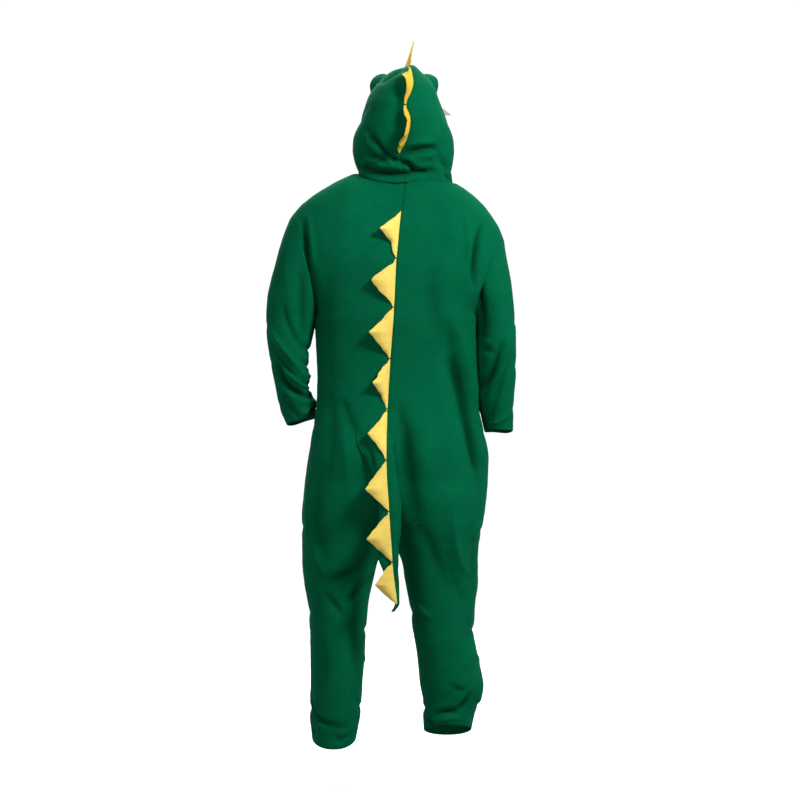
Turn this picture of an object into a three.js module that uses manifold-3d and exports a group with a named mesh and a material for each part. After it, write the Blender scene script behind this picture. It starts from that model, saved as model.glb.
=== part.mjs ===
// Crocodile onesie: a hooded fleece overall in its worn, hollow form.
// Millimetres, +Z up. The front faces -Y and the wearer's left is +X.
// The origin is the middle of the neck, at the height of the back neck seam.
// Every cloth piece is a wall of its own, cut from one continuous skin: neighbours share the skin's points
// along their seam, and each draws back from it by half the seam gap.
import * as THREE from 'three';
import Module from 'manifold-3d';
import { mergeVertices } from 'three/addons/utils/BufferGeometryUtils.js';

// ---- Driving sizes ----
const FLEECE_WALL = 2;
const FELT_WALL = 3;
const SEAM_GAP = 0.3;
const UNDERARM_Z = -352;
const CROTCH_Z = -935;
const SEAT_Z = -770; // where the centre back and front seams begin to draw in between the legs
const FULL_TORSO = 2.35; // roundness of a section: 2 is an ellipse, more is squarer
const FULL_LEG = 2.15;
const FULL_HOOD = 2.15;
const YOKE_SHARE = 0.6; // share of the armhole's height over which the shoulder rounds down
const NECK_SHARE = 5 / 11; // share of a panel's top edge that is neckline; the rest is shoulder

// Segments of the faceted walls.
const PANEL_COLUMNS = 11;
const YOKE_ROWS = 8;
const TRUNK_ROWS = 10;
const LEG_ROWS = 8;
const SLEEVE_ROWS = 9;
const HOOD_ROWS = 11;
const HOOD_COLUMNS = 10;

const FLEECE = { color: 0x04603c, roughness: 0.95, metalness: 0 };
const YELLOW_FELT = { color: 0xf5d860, roughness: 0.9, metalness: 0 };
const WHITE_FELT = { color: 0xd8d8d6, roughness: 0.9, metalness: 0 };
const BLACK_FELT = { color: 0x151515, roughness: 0.9, metalness: 0 };
const ZIP_TAPE = { color: 0x04503a, roughness: 0.8, metalness: 0 };
const ZIP_METAL = { color: 0x9a9a98, roughness: 0.35, metalness: 1 };

// ---- Sections ----
// A table has named columns and a row for each section, from the top down or along the piece.
function table(names, rows) {
  const columns = names.split(' ');
  const named = (row) => Object.fromEntries(columns.map((name, i) => [name, row[i]]));
  return { key: columns[0], columns, rows: rows.map(named) };
}

// Torso: x of the side seams, x of the centre seams, and y of the back, side seams and front.
const TORSO = table('z left right backX frontX back side front', [
  [0, 222, -198, -13, -10, 50, 0, -95],
  [-70, 222, -198, -3, -8, 84, 0, -108],
  [-140, 222, -198, 5, -5, 105, 0, -120],
  [-210, 222, -198, 10, -2, 116, 0, -128],
  [-352, 222, -198, 17, 4, 116, 0, -134],
  [-430, 218, -199.5, 23, 8, 106, 0, -138],
  [-505, 216, -202.5, 28, 10, 102, 0, -138],
  [-580, 218, -204, 32, 11, 110, 0, -136],
  [-650, 227, -219, 34, 12, 130, 2, -132],
  [-725, 240, -230, 35, 13, 146, 4, -126],
  [-800, 250, -227, 33, 14, 146, 5, -120],
  [-870, 255, -218, 27, 17, 134, 4, -112],
  [-935, 255, -206, 21, 21, 118, 2, -102],
]);

// Legs: x of the side seam and inseam, and y of the back, seams and front.
const LEG = {
  left: table('z outer inner back side front', [
    [-935, 255, 21, 118, 2, -102],
    [-985, 254, 57, 108, 0, -98],
    [-1040, 249, 70, 98, -2, -92],
    [-1110, 239, 84, 92, -4, -88],
    [-1200, 234, 90, 88, -6, -84],
    [-1290, 233, 96, 84, -4, -80],
    [-1370, 235, 100, 76, -2, -76],
    [-1448, 228, 114, 66, 0, -72],
  ]),
  right: table('z outer inner back side front', [
    [-935, -206, 21, 118, 2, -102],
    [-985, -203, -10, 106, 2, -98],
    [-1040, -203, -20, 98, 0, -92],
    [-1110, -195, -26, 92, -2, -88],
    [-1170, -193, -34, 90, -4, -86],
    [-1230, -203, -44, 88, -6, -84],
    [-1310, -218, -53, 84, -4, -80],
    [-1350, -212, -60, 78, -2, -78],
    [-1378, -197, -60, 74, 0, -76],
    [-1424, -186, -62, 70, 0, -74],
  ]),
};
const HEM = {
  left: { side: -1440, back: -1466, front: -1452 },
  right: { side: -1422, back: -1403, front: -1448 },
};

// Sleeves: the outer and the inner line of the arm, the middle y, and half the depth from front to back.
const SLEEVE = {
  left: table('row outX outZ inX inZ y depth', [
    [0, 285, -94, 222, -352, 0, 74],
    [1, 305, -143, 224, -364, 0, 73],
    [2, 327, -222, 223.5, -386, 0, 70],
    [3, 346, -308, 229, -412, 2, 65],
    [4, 348, -385, 237, -455, 4, 60],
    [5, 340, -450, 236, -500, 0, 56],
    [6, 328, -515, 230, -545, -8, 52],
    [7, 315, -585, 224, -582, -20, 49],
    [8, 296, -632, 221, -612, -30, 47],
  ]),
  right: table('row outX outZ inX inZ y depth', [
    [0, -270, -150, -198, -352, 0, 70],
    [1, -278, -200, -203, -366, 0, 69],
    [2, -290, -265, -204.2, -388, 0, 67],
    [3, -298, -345, -204.7, -418, 2, 63],
    [4, -302, -420, -205.2, -462, 4, 59],
    [5, -302, -490, -205.5, -512, 0, 55],
    [6, -298, -555, -208, -562, -8, 51],
    [7, -297, -608, -216, -610, -20, 48],
    [8, -296, -648, -222, -648, -28, 46],
  ]),
};
const ARMHOLE_BOW = 14; // how far the armhole seam curves in from the straight line

// Neck points, and the shoulder seams' middle control points.
const NECK = {
  back: [-13, 50, -3],
  front: [-10, -95, -55],
  left: [107, 0, 21],
  right: [-139, 0, -3],
};
const SHOULDER_BEND = { left: [234, -4, -25], right: [-240, -4, -62] };

// Hood: x of its left and right sides and of its centre back seam, y of its back, widest part and front, and
// the angle at which each level ends at the face opening, seen from above and counted from the back. 180 is
// closed.
const HOOD = table('z left right seam back side front open', [
  [0, 110, -139, -13, 62, -12, -92, 150],
  [36, 117, -142, -4, 76, -16, -88, 130],
  [70, 126, -142, 0, 86, -20, -86, 121],
  [109, 126, -139, -14, 96, -22, -88, 118],
  [161, 105, -122, -22, 103, -24, -98, 121],
  [200, 92, -108, -20, 101, -26, -108, 131],
  [222, 84, -100, -26, 95, -28, -114, 148],
  [240, 74, -94, -29, 87, -30, -117, 180],
  [262, 57, -82, -29, 70, -32, -112, 180],
  [280, 38, -62, -27, 48, -34, -104, 180],
  [293, 18, -46, -22, 22, -36, -92, 180],
  [302, -18, -18, -18, -14, -36, -58, 180],
]);
const HOOD_TOP_Z = 302;
const HOOD_BLEND = 0.18; // share of the hood's rows over which it turns from the neckline to level sections

// Large folds, each a soft trough along a curve through three points seen from the back or the front.
// face is 1 on the back and -1 on the front; a negative depth is a ridge.
const LARGE_FOLDS = table('face x1 z1 x2 z2 x3 z3 width depth', [
  [1, -122, -372, -156, -517, -198, -697, 22, 12], // waist to right hip
  [1, -208, -130, -187, -208, -195, -290, 18, 12], // right armhole
  [1, 244, -130, 236, -208, 218, -387, 20, 14], // left armhole
  [1, 190, -1032, 143, -1017, 96, -996, 18, 8], // left thigh
  [1, 150, -1082, 104, -1052, 66, -1020, 18, 10],
  [1, -56, -890, -72, -935, -96, -985, 20, 8], // right thigh
  [1, -138, -863, -148, -952, -170, -1016, 20, -7],
  [1, 234, -1329, 200, -1388, 140, -1409, 18, 9], // left ankle
  [1, -100, -1372, -140, -1366, -184, -1330, 18, 9], // right ankle
  [1, 322, -475, 286, -536, 226, -565, 18, 9], // left elbow
  [1, 335, -385, 296, -445, 237, -505, 18, -7],
  [1, -298, -387, -260, -494, -208, -559, 18, -7], // right elbow
  [-1, 215, -150, 196, -240, 206, -360, 22, 10], // armholes at the front
  [-1, -196, -150, -176, -240, -188, -360, 22, 10],
  [-1, 200, -820, 120, -880, 40, -905, 24, 9], // top of the thighs
  [-1, -180, -810, -100, -876, 0, -905, 24, 9],
  [-1, 214, -1340, 170, -1392, 118, -1404, 18, 8], // ankles
  [-1, -80, -1376, -130, -1384, -184, -1352, 18, 8],
]);

// Tail: x of its left edge, of its top seam and of its right edge, then y and z of its back and under lines.
const TAIL = table('row left seam right backY backZ underY underZ', [
  [0, 125, 33, 11, 113, -590, 146, -720],
  [1, 110, 34, 19, 140, -632, 153, -736],
  [2, 86, 35, 14, 164, -687, 158, -757],
  [3, 66, 34, 6, 174, -752, 157, -795],
  [4, 54, 29, -5, 176, -830, 154, -842],
  [5, 54, 25, -4, 174, -896, 152, -896],
  [6, 56, 21, -1, 170, -950, 151, -950],
  [7, 43, 18, -1.5, 166, -998, 151, -998],
  [8, 20, 13, 0, 161, -1037, 151, -1037],
  [9, 7, 5, 1, 157, -1091, 152, -1091],
]);

// Spikes of the back and tail: height of the upper valley and of the tip, how far the tip lies out to the
// wearer's left of the seam, and how far it stands off the cloth.
const BACK_SPIKES = table('topZ tipZ reach lift', [
  [-84, -131, 49, 26],
  [-207, -264, 61, 20],
  [-332, -394, 59, 22],
  [-463, -525, 41, 24],
  [-592, -659, 48, 20],
  [-721, -795, 56, 20],
  [-850, -921, 61, 16],
  [-979, -1046, 49, 10],
]);
const SPIKE_END_Z = -1084;
const SPIKE_BOW = 8; // how far a spike arches off the cloth between its base and its tip
const SPIKE_SPACE = 3; // between one spike's base and the next
const FELT_SHARES = [0, 0.35, 0.7, 0.97]; // how far each row of a spike is towards its tip
const TAIL_BASE_Z = -600;
const SEAT = 0.9; // what lies on the cloth stands this far off its flat facets
const TAIL_ROWS = 11;
const TAIL_TIP_WALL = 1; // both layers have to fit into the tip

// Spikes of the hood, by their lengths along its centre seam from the forehead, and how far each tip stands
// out, leans to the left and droops.
const HOOD_SPIKES = table('from to reach lean droop', [
  [50, 165, 68, -19, 0],
  [186, 316, 50, 22, -14],
  [320, 448, 50, 12, -14],
]);
const FOREHEAD_Z = 240;

// Eyes: a stuffed half ball on the hood with a felt white and a pupil, each on the one before.
const EYE = { row: 0.67, column: 0.7, radius: 34, height: 37, seat: 1.3 };
const EYE_WHITE = { radius: 17, height: 1.5, forward: 0.04 };
const EYE_PUPIL = { radius: 9, height: 1.5, forward: 0.05 };
const DISC_SEAT = 0.7; // between an eye and its white, and between the white and its pupil
const PAD_SIDES = 10;

// Teeth along the hood's face edge: height of the middle of the base, and where the tip lies from there.
const TEETH = table('z out forward up', [
  [205, 4, 32, -8],
  [160, 4, 33, -6],
  [115, 4, 33, -6],
  [70, 4, 32, -4],
]);
const FLIPPED_TOOTH = { side: 'right', index: 0, out: 50, forward: 4, up: -28 }; // turned out sideways
const TOOTH_BASE = 30;

// Zip down the centre front: tapes behind the fronts, a coil between them, and a slider with a pull tab.
const ZIP_HALF = 3.5; // from the zip's middle to the edge of each front
const ZIP_END_Z = -780;
const ZIP_TOP_Z = -62;
const TAPE = { half: 14, wall: 1 };
const COIL = { half: 2.9, wall: 1.8, short: 2 }; // short of the slit at each end
const SLIDER = { z: -84, half: 4.5, foot: 3.4, length: 15, wall: 2.4, lip: 0.5 };
const BRIDGE = { half: 1.1, length: 9, gap: 2.2, wall: 1.2, leg: 1.4, sunk: 0.5 };
const PULL = { half: 3.6, length: 34, wall: 1.2, hole: 1.9, bar: 1.3, holeEnd: 10.5, pivot: -2 };

// ---- Small helpers ----
const mix = (a, b, share) => a + (b - a) * share;
const mixPoint = (a, b, share) => a.map((value, i) => mix(value, b[i], share));
const clamp = (value) => Math.min(1, Math.max(0, value));
const smooth = (value) => clamp(value) ** 2 * (3 - 2 * clamp(value));
const radians = (degrees) => (degrees * Math.PI) / 180;
const power = (value, exponent) => Math.sign(value) * Math.abs(value) ** exponent;
const plus = (a, b, scale = 1) => a.map((value, i) => value + b[i] * scale);
const minus = (a, b) => a.map((value, i) => value - b[i]);
const dot = (a, b) => a[0] * b[0] + a[1] * b[1] + a[2] * b[2];
const cross = (a, b) => [a[1] * b[2] - a[2] * b[1], a[2] * b[0] - a[0] * b[2], a[0] * b[1] - a[1] * b[0]];
const unit = (a) => a.map((value) => value / (Math.hypot(...a) || 1));
const steps = (from, to, count) => Array.from({ length: count + 1 }, (_, i) => mix(from, to, i / count));

// The share from 0 to 1 at which a rising or falling function reaches a value.
function solve(value, target) {
  const rising = value(1) > value(0);
  let low = 0;
  let high = 1;
  for (let i = 0; i < 40; i += 1) {
    const middle = (low + high) / 2;
    if (value(middle) < target === rising) {
      low = middle;
    } else {
      high = middle;
    }
  }
  return low;
}

// Every column of a table at one value of its first column, on a curve that never overshoots its rows.
function at(sections, value) {
  const { key, columns, rows } = sections;
  const rising = rows[1][key] > rows[0][key];
  const limits = [rows[0][key], rows[rows.length - 1][key]];
  const inside = Math.min(Math.max(value, Math.min(...limits)), Math.max(...limits));
  let first = 0;
  const past = (row) => (rising ? inside > row[key] : inside < row[key]);
  while (first < rows.length - 2 && past(rows[first + 1])) {
    first += 1;
  }
  const slope = (i, name) => (rows[i + 1][name] - rows[i][name]) / (rows[i + 1][key] - rows[i][key]);
  const tangent = (i, name) => {
    const before = slope(Math.max(0, i - 1), name);
    const after = slope(Math.min(rows.length - 2, i), name);
    return before * after <= 0 ? 0 : (2 * before * after) / (before + after);
  };
  const span = rows[first + 1][key] - rows[first][key];
  const t = (inside - rows[first][key]) / span;
  const curve = (name) =>
    rows[first][name] * (1 + 2 * t) * (1 - t) ** 2 +
    rows[first + 1][name] * t * t * (3 - 2 * t) +
    tangent(first, name) * span * t * (1 - t) ** 2 +
    tangent(first + 1, name) * span * t * t * (t - 1);
  return Object.fromEntries(columns.map((name) => [name, name === key ? inside : curve(name)]));
}

// ---- The skin ----
// Sleeve: row from 0 at the armhole to 1 at the cuff, turn from 0 at the top through the back.
function sleevePoint(side, row, turn) {
  const section = at(SLEEVE[side], row * (SLEEVE[side].rows.length - 1));
  const across = Math.cos(turn) / 2;
  const inward = -Math.sign(section.outX) * ARMHOLE_BOW * Math.abs(Math.sin(turn)) * (1 - smooth(row * 3));
  return [
    (section.outX + section.inX) / 2 + (section.outX - section.inX) * across + inward,
    section.y + section.depth * Math.sin(turn),
    (section.outZ + section.inZ) / 2 + (section.outZ - section.inZ) * across,
  ];
}

const armhole = (side, face, share) => sleevePoint(side, 0, (face === 'back' ? 1 : -1) * Math.PI * share);

// Neckline from the centre back or centre front, share 0, to the side of the neck, share 1.
function neckline(side, face, share) {
  const turn = (share * Math.PI) / 2;
  const centre = NECK[face];
  const end = NECK[side];
  return [
    mix(centre[0], end[0], Math.sin(turn)),
    mix(end[1], centre[1], Math.cos(turn)),
    mix(end[2], centre[2], Math.cos(turn)),
  ];
}

function shoulder(side, share) {
  const start = mixPoint(NECK[side], SHOULDER_BEND[side], share);
  return mixPoint(start, mixPoint(SHOULDER_BEND[side], armhole(side, 'back', 0), share), share);
}

function topEdge(side, face, column) {
  if (column < NECK_SHARE) {
    return neckline(side, face, column / NECK_SHARE);
  }
  return shoulder(side, (column - NECK_SHARE) / (1 - NECK_SHARE));
}

// From the top edge down to the underarm, between the centre seam and the armhole.
function yokePoint(side, face, row, column) {
  const height = mix(NECK[face][2], UNDERARM_Z, row);
  const section = at(TORSO, height);
  const centreX = section[face + 'X'];
  const depth = section[face] - section.side;
  const end = armhole(side, face, row);
  const endTurn = Math.acos(clamp((end[1] - section.side) / depth) ** (FULL_TORSO / 2));
  const turn = column * endTurn;
  const level = [
    mix(centreX, end[0], (Math.sin(turn) / Math.sin(endTurn)) ** (2 / FULL_TORSO)),
    section.side + depth * Math.cos(turn) ** (2 / FULL_TORSO),
    mix(height, end[2], column ** 1.5),
  ];
  const share = clamp(row / YOKE_SHARE);
  const round = smooth(column * 2);
  const out = mix(share, Math.sin((share * Math.PI) / 2), round);
  const down = mix(share, 1 - Math.cos((share * Math.PI) / 2), round);
  const between = (from, to) => [
    mix(from[0], to[0], out),
    mix(from[1], to[1], out),
    mix(from[2], to[2], down),
  ];
  const toArmhole = minus(end, between(topEdge(side, face, 1), end));
  return plus(between(topEdge(side, face, column), level), toArmhole, column ** 6);
}

// From the underarm to the crotch. Below the seat the section turns from half a torso into a leg.
function trunkPoint(side, face, row, column) {
  const height = mix(UNDERARM_Z, CROTCH_Z, 1 - (1 - row) ** 1.5);
  const section = at(TORSO, height);
  const inTurn = (Math.PI / 2) * clamp((SEAT_Z - height) / (SEAT_Z - CROTCH_Z)) ** 1.5;
  const full = mix(FULL_TORSO, FULL_LEG, Math.sin(inTurn));
  const half = (section[side] - section[face + 'X']) / (1 + Math.sin(inTurn) ** (2 / full));
  const turn = mix(-inTurn, Math.PI / 2, column);
  return [
    section[side] - half + half * power(Math.sin(turn), 2 / full),
    section.side + (section[face] - section.side) * clamp(Math.cos(turn)) ** (2 / full),
    height,
  ];
}

function legPoint(side, face, row, column) {
  const hem = HEM[side];
  const height = mix(CROTCH_Z, hem.side, row ** 1.3);
  const section = at(LEG[side], height);
  const turn = mix(-Math.PI / 2, Math.PI / 2, column);
  const half = (section.outer - section.inner) / 2;
  const round = clamp(Math.cos(turn)) ** (2 / FULL_LEG);
  return [
    section.inner + half + half * power(Math.sin(turn), 2 / FULL_LEG),
    section.side + (section[face] - section.side) * round,
    height + (hem[face] - hem.side) * round * row ** 3,
  ];
}

// A front or back half: row 0 to 1 is the yoke, 1 to 2 the trunk and 2 to 3 the leg.
function bodyPoint(side, face, row, column) {
  if (row < 1) {
    return yokePoint(side, face, row, column);
  }
  return row < 2 ? trunkPoint(side, face, row - 1, column) : legPoint(side, face, row - 2, column);
}

// Half a hood: row 0 at the neckline to 1 at the crown, column 0 at the centre back to 1 at the face.
function hoodPoint(side, row, column) {
  const back = column < 0.5;
  const neck = neckline(side, back ? 'back' : 'front', back ? column * 2 : (1 - column) * 2);
  const section = at(HOOD, HOOD_TOP_Z * Math.sin((row * Math.PI) / 2));
  const turn = radians(section.open * column);
  const centreX = (section.left + section.right) / 2;
  const depth = (turn < Math.PI / 2 ? section.back : section.front) - section.side;
  const toSeam = (section.seam - centreX) * clamp(Math.cos(turn)) ** 2;
  const level = [
    centreX + (section[side] - centreX) * clamp(Math.sin(turn)) ** (2 / FULL_HOOD) + toSeam,
    section.side + depth * Math.abs(Math.cos(turn)) ** (2 / FULL_HOOD),
    section.z,
  ];
  return mixPoint(neck, level, smooth(row / HOOD_BLEND));
}

// How far the large folds move a point of the skin in, by its place and by how far it faces back or front.
function foldDepth(point, normal) {
  let depth = 0;
  for (const fold of LARGE_FOLDS.rows) {
    const facing = smooth((normal[1] * fold.face) / 0.5);
    let nearest = Infinity;
    for (const share of steps(0, 1, 12)) {
      const x = mix(mix(fold.x1, fold.x2, share), mix(fold.x2, fold.x3, share), share);
      const z = mix(mix(fold.z1, fold.z2, share), mix(fold.z2, fold.z3, share), share);
      nearest = Math.min(nearest, Math.hypot(point[0] - x, point[2] - z));
    }
    depth += fold.depth * facing * Math.exp(-((nearest / fold.width) ** 2));
  }
  return depth;
}

// ---- Walls ----
// A sheet is a grid of points on the skin. wrap joins its last column to its first, as on a tube.
function sheet(rows, columns, point, { wrap = false, faceY = 1, probe = [0.5, 0.3] } = {}) {
  const count = wrap ? columns : columns + 1;
  const points = rows.map((row) => Array.from({ length: count }, (_, i) => point(row, i / columns)));
  return { points, count, wrap, faceY, probe, normals: null };
}

// Corner normals of a sheet, summed over its cells, pointing out of the garment.
function sheetNormals({ points, count, wrap, faceY, probe }) {
  const sums = points.map((line) => line.map(() => [0, 0, 0]));
  for (let r = 0; r < points.length - 1; r += 1) {
    for (let c = 0; c < (wrap ? count : count - 1); c += 1) {
      const next = (c + 1) % count;
      const diagonal = minus(points[r + 1][next], points[r][c]);
      const normal = cross(diagonal, minus(points[r + 1][c], points[r][next]));
      for (const [i, j] of [[r, c], [r, next], [r + 1, c], [r + 1, next]]) {
        sums[i][j] = plus(sums[i][j], normal);
      }
    }
  }
  const probed = sums[Math.round(probe[0] * (points.length - 1))][Math.round(probe[1] * (count - 1))];
  const sign = Math.sign(probed[1]) * faceY;
  return sums.map((line) => line.map((normal) => normal.map((value) => value * sign)));
}

// Points that two sheets share get one normal, so that the walls meet squarely at every seam.
function shareNormals(sheets) {
  const shared = new Map();
  const name = (point) => point.map((value) => Math.round(value * 50)).join();
  for (const one of sheets) {
    one.normals = sheetNormals(one);
    one.points.forEach((line, r) =>
      line.forEach((point, c) => {
        const sum = shared.get(name(point)) ?? [0, 0, 0];
        shared.set(name(point), plus(sum, one.normals[r][c]));
      }),
    );
  }
  for (const one of sheets) {
    one.normals = one.points.map((line) => line.map((point) => unit(shared.get(name(point)))));
  }
}

// Draws a sheet's edges back from its seams, each by its own distance.
function drawBack({ points, normals, count, wrap }, edgeGap) {
  const last = points.length - 1;
  return points.map((line, r) =>
    line.map((point, c) => {
      const moves = [];
      const edge = (name, before, after, inside) => {
        const across = cross(minus(after, before), normals[r][c]);
        const sign = Math.sign(dot(across, minus(inside, point)));
        moves.push(unit(across).map((value) => value * sign * edgeGap(name, point)));
      };
      if (r === 0 || r === last) {
        const left = line[wrap ? (c + count - 1) % count : Math.max(0, c - 1)];
        const right = line[wrap ? (c + 1) % count : Math.min(count - 1, c + 1)];
        edge(r === 0 ? 'first row' : 'last row', left, right, points[r === 0 ? 1 : last - 1][c]);
      }
      if (!wrap && (c === 0 || c === count - 1)) {
        const above = points[Math.max(0, r - 1)][c];
        const below = points[Math.min(last, r + 1)][c];
        edge(c === 0 ? 'first column' : 'last column', above, below, line[c === 0 ? 1 : count - 2]);
      }
      return moves.reduce((sum, move) => plus(sum, move), point);
    }),
  );
}

// Closed wall between two grids of points of the same shape.
function wallGeometry(outer, inner, wrap) {
  const rows = outer.length;
  const count = outer[0].length;
  const positions = [...outer.flat(), ...inner.flat()].flat();
  const out = (r, c) => r * count + (c % count);
  const inn = (r, c) => rows * count + out(r, c);
  const faces = [];
  const quad = (a, b, c, d) => faces.push(a, b, c, a, c, d);
  const cells = wrap ? count : count - 1;
  for (let r = 0; r < rows - 1; r += 1) {
    for (let c = 0; c < cells; c += 1) {
      quad(out(r, c), out(r + 1, c), out(r + 1, c + 1), out(r, c + 1));
      quad(inn(r, c), inn(r, c + 1), inn(r + 1, c + 1), inn(r + 1, c));
    }
  }
  for (let c = 0; c < cells; c += 1) {
    quad(out(0, c), out(0, c + 1), inn(0, c + 1), inn(0, c));
    quad(out(rows - 1, c + 1), out(rows - 1, c), inn(rows - 1, c), inn(rows - 1, c + 1));
  }
  if (!wrap) {
    for (let r = 0; r < rows - 1; r += 1) {
      quad(out(r + 1, 0), out(r, 0), inn(r, 0), inn(r + 1, 0));
      quad(out(r, count - 1), out(r + 1, count - 1), inn(r + 1, count - 1), inn(r, count - 1));
    }
  }
  const geometry = new THREE.BufferGeometry();
  geometry.setAttribute('position', new THREE.Float32BufferAttribute(positions, 3));
  geometry.setIndex(faces);
  return outward(geometry);
}

// Turns a closed mesh's faces the other way round if they point in.
function outward(geometry) {
  const place = geometry.attributes.position;
  const index = Array.from(geometry.index.array);
  const corner = (i) => [place.getX(i), place.getY(i), place.getZ(i)];
  let volume = 0;
  for (let i = 0; i < index.length; i += 3) {
    volume += dot(corner(index[i]), cross(corner(index[i + 1]), corner(index[i + 2])));
  }
  if (volume < 0) {
    for (let i = 0; i < index.length; i += 3) {
      [index[i + 1], index[i + 2]] = [index[i + 2], index[i + 1]];
    }
    geometry.setIndex(index);
  }
  return geometry;
}

const onesie = new THREE.Group();

function addMesh(name, geometry, material) {
  const mesh = new THREE.Mesh(geometry, new THREE.MeshStandardMaterial(material));
  mesh.name = name;
  onesie.add(mesh);
  return mesh;
}

// ---- The cloth pieces ----
const bodyRows = [
  ...steps(0, 1, YOKE_ROWS),
  ...steps(1, 2, TRUNK_ROWS).slice(1),
  ...steps(2, 3, LEG_ROWS).slice(1),
];
const cloth = {};
for (const side of ['left', 'right']) {
  for (const face of ['back', 'front']) {
    const point = (row, column) => bodyPoint(side, face, row, column);
    cloth[`${face}_${side}`] = sheet(bodyRows, PANEL_COLUMNS, point, { faceY: face === 'back' ? 1 : -1 });
  }
  const sleeve = (row, share) => sleevePoint(side, row, share * 2 * Math.PI);
  const tube = { wrap: true, probe: [0.5, 0.25] };
  cloth[`sleeve_${side}`] = sheet(steps(0, 1, SLEEVE_ROWS), 2 * YOKE_ROWS, sleeve, tube);
  const hood = (row, column) => hoodPoint(side, row, column);
  cloth[`hood_${side}`] = sheet(steps(0, 1, HOOD_ROWS), HOOD_COLUMNS, hood, { probe: [0.5, 0] });
}
shareNormals(Object.values(cloth));
for (const piece of Object.values(cloth)) {
  piece.points = piece.points.map((line, r) =>
    line.map((point, c) => plus(point, piece.normals[r][c], -foldDepth(point, piece.normals[r][c]))),
  );
}
shareNormals(Object.values(cloth));
for (const [name, piece] of Object.entries(cloth)) {
  const slit = (edge, point) => name.startsWith('front') && edge === 'first column' && point[2] > ZIP_END_Z;
  const outer = drawBack(piece, (edge, point) => (slit(edge, point) ? ZIP_HALF : SEAM_GAP / 2));
  const inwards = (point, r, c) => plus(point, piece.normals[r][c], -FLEECE_WALL);
  const inner = outer.map((line, r) => line.map((point, c) => inwards(point, r, c)));
  addMesh(name, wallGeometry(outer, inner, piece.wrap), FLEECE);
}

// ---- The tail ----
// y of the back's skin at a place between the underarm and the seat.
function backY(x, z) {
  const section = at(TORSO, z);
  const side = x > section.backX ? section.left : section.right;
  const out = clamp((x - section.backX) / (side - section.backX));
  return mix(section.side, section.back, (1 - out ** FULL_TORSO) ** (1 / FULL_TORSO));
}

// Row from 0 at the base to 1 at the tip, turn from 0 at the top through the wearer's left.
function tailPoint(row, turn) {
  const section = at(TAIL, row * (TAIL.rows.length - 1));
  const across = Math.cos(turn) / 2;
  const x = mix(section.right, section.left, 0.5 + Math.sin(turn) / 2);
  const z = (section.backZ + section.underZ) / 2 + (section.backZ - section.underZ) * across;
  const hanging = (section.backY + section.underY) / 2 + (section.backY - section.underY) * across;
  return [x, row === 0 ? backY(x, z) + SEAT : hanging, z];
}

function tailSeamTurn(row) {
  const { left, seam, right } = at(TAIL, row * (TAIL.rows.length - 1));
  return Math.asin(((seam - right) / (left - right)) * 2 - 1);
}

const tail = {
  tail_left: sheet(steps(0, 1, TAIL_ROWS), 7, (row, column) => {
    const seam = tailSeamTurn(row);
    return tailPoint(row, mix(seam, Math.PI - seam, column));
  }, { probe: [0.5, 0.1] }),
  tail_right: sheet(steps(0, 1, TAIL_ROWS), 5, (row, column) => {
    const seam = tailSeamTurn(row);
    return tailPoint(row, mix(seam, -Math.PI - seam, column));
  }, { probe: [0.5, 0.1] }),
};
shareNormals(Object.values(tail));
for (const [name, piece] of Object.entries(tail)) {
  const outer = drawBack(piece, (edge) => (edge === 'first row' ? 0 : SEAM_GAP / 2));
  const wallAt = (r) => mix(FLEECE_WALL, TAIL_TIP_WALL, smooth((r / TAIL_ROWS - 0.8) * 5));
  const inner = outer.map((line, r) =>
    line.map((point, c) => {
      const moved = plus(point, piece.normals[r][c], -wallAt(r));
      return r === 0 ? [moved[0], backY(moved[0], moved[2]) + SEAT, moved[2]] : moved;
    }),
  );
  addMesh(name, wallGeometry(outer, inner, false), FLEECE);
}

// ---- Felt spikes ----
// A triangle of felt: a base along a seam, drawn together towards its tip, with its wall along thick.
function feltGeometry(base, tip, thick, bow) {
  const felt = (point, share) => plus(mixPoint(point, tip, share), bow, Math.sin(Math.PI * share));
  const grid = (offset) =>
    FELT_SHARES.map((share) => base.map((point) => plus(felt(point, share), thick, offset)));
  return wallGeometry(grid(0), grid(1), false);
}

// The stretch of a seam between two lengths from its start, with the corners that the faceted walls have.
function stretch(line, from, to) {
  const lengths = [0];
  line.slice(1).forEach((point, i) => lengths.push(lengths[i] + Math.hypot(...minus(point, line[i]))));
  const onLine = (length) => {
    const next = Math.max(1, lengths.findIndex((value) => value >= length));
    const share = (length - lengths[next - 1]) / (lengths[next] - lengths[next - 1]);
    return mixPoint(line[next - 1], line[next], share);
  };
  const clear = (value) => value > from + SPIKE_SPACE && value < to - SPIKE_SPACE;
  return [onLine(from), ...line.filter((_, i) => clear(lengths[i])), onLine(to)];
}

const lengthAt = (line, z) => {
  const below = line.findIndex((point, i) => i > 0 && point[2] <= z);
  const corners = line.slice(0, below);
  const last = corners[corners.length - 1];
  const whole = corners.slice(1).reduce((sum, point, i) => sum + Math.hypot(...minus(point, corners[i])), 0);
  const part = (z - last[2]) / (line[below][2] - last[2]);
  return whole + part * Math.hypot(...minus(line[below], last));
};

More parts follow.
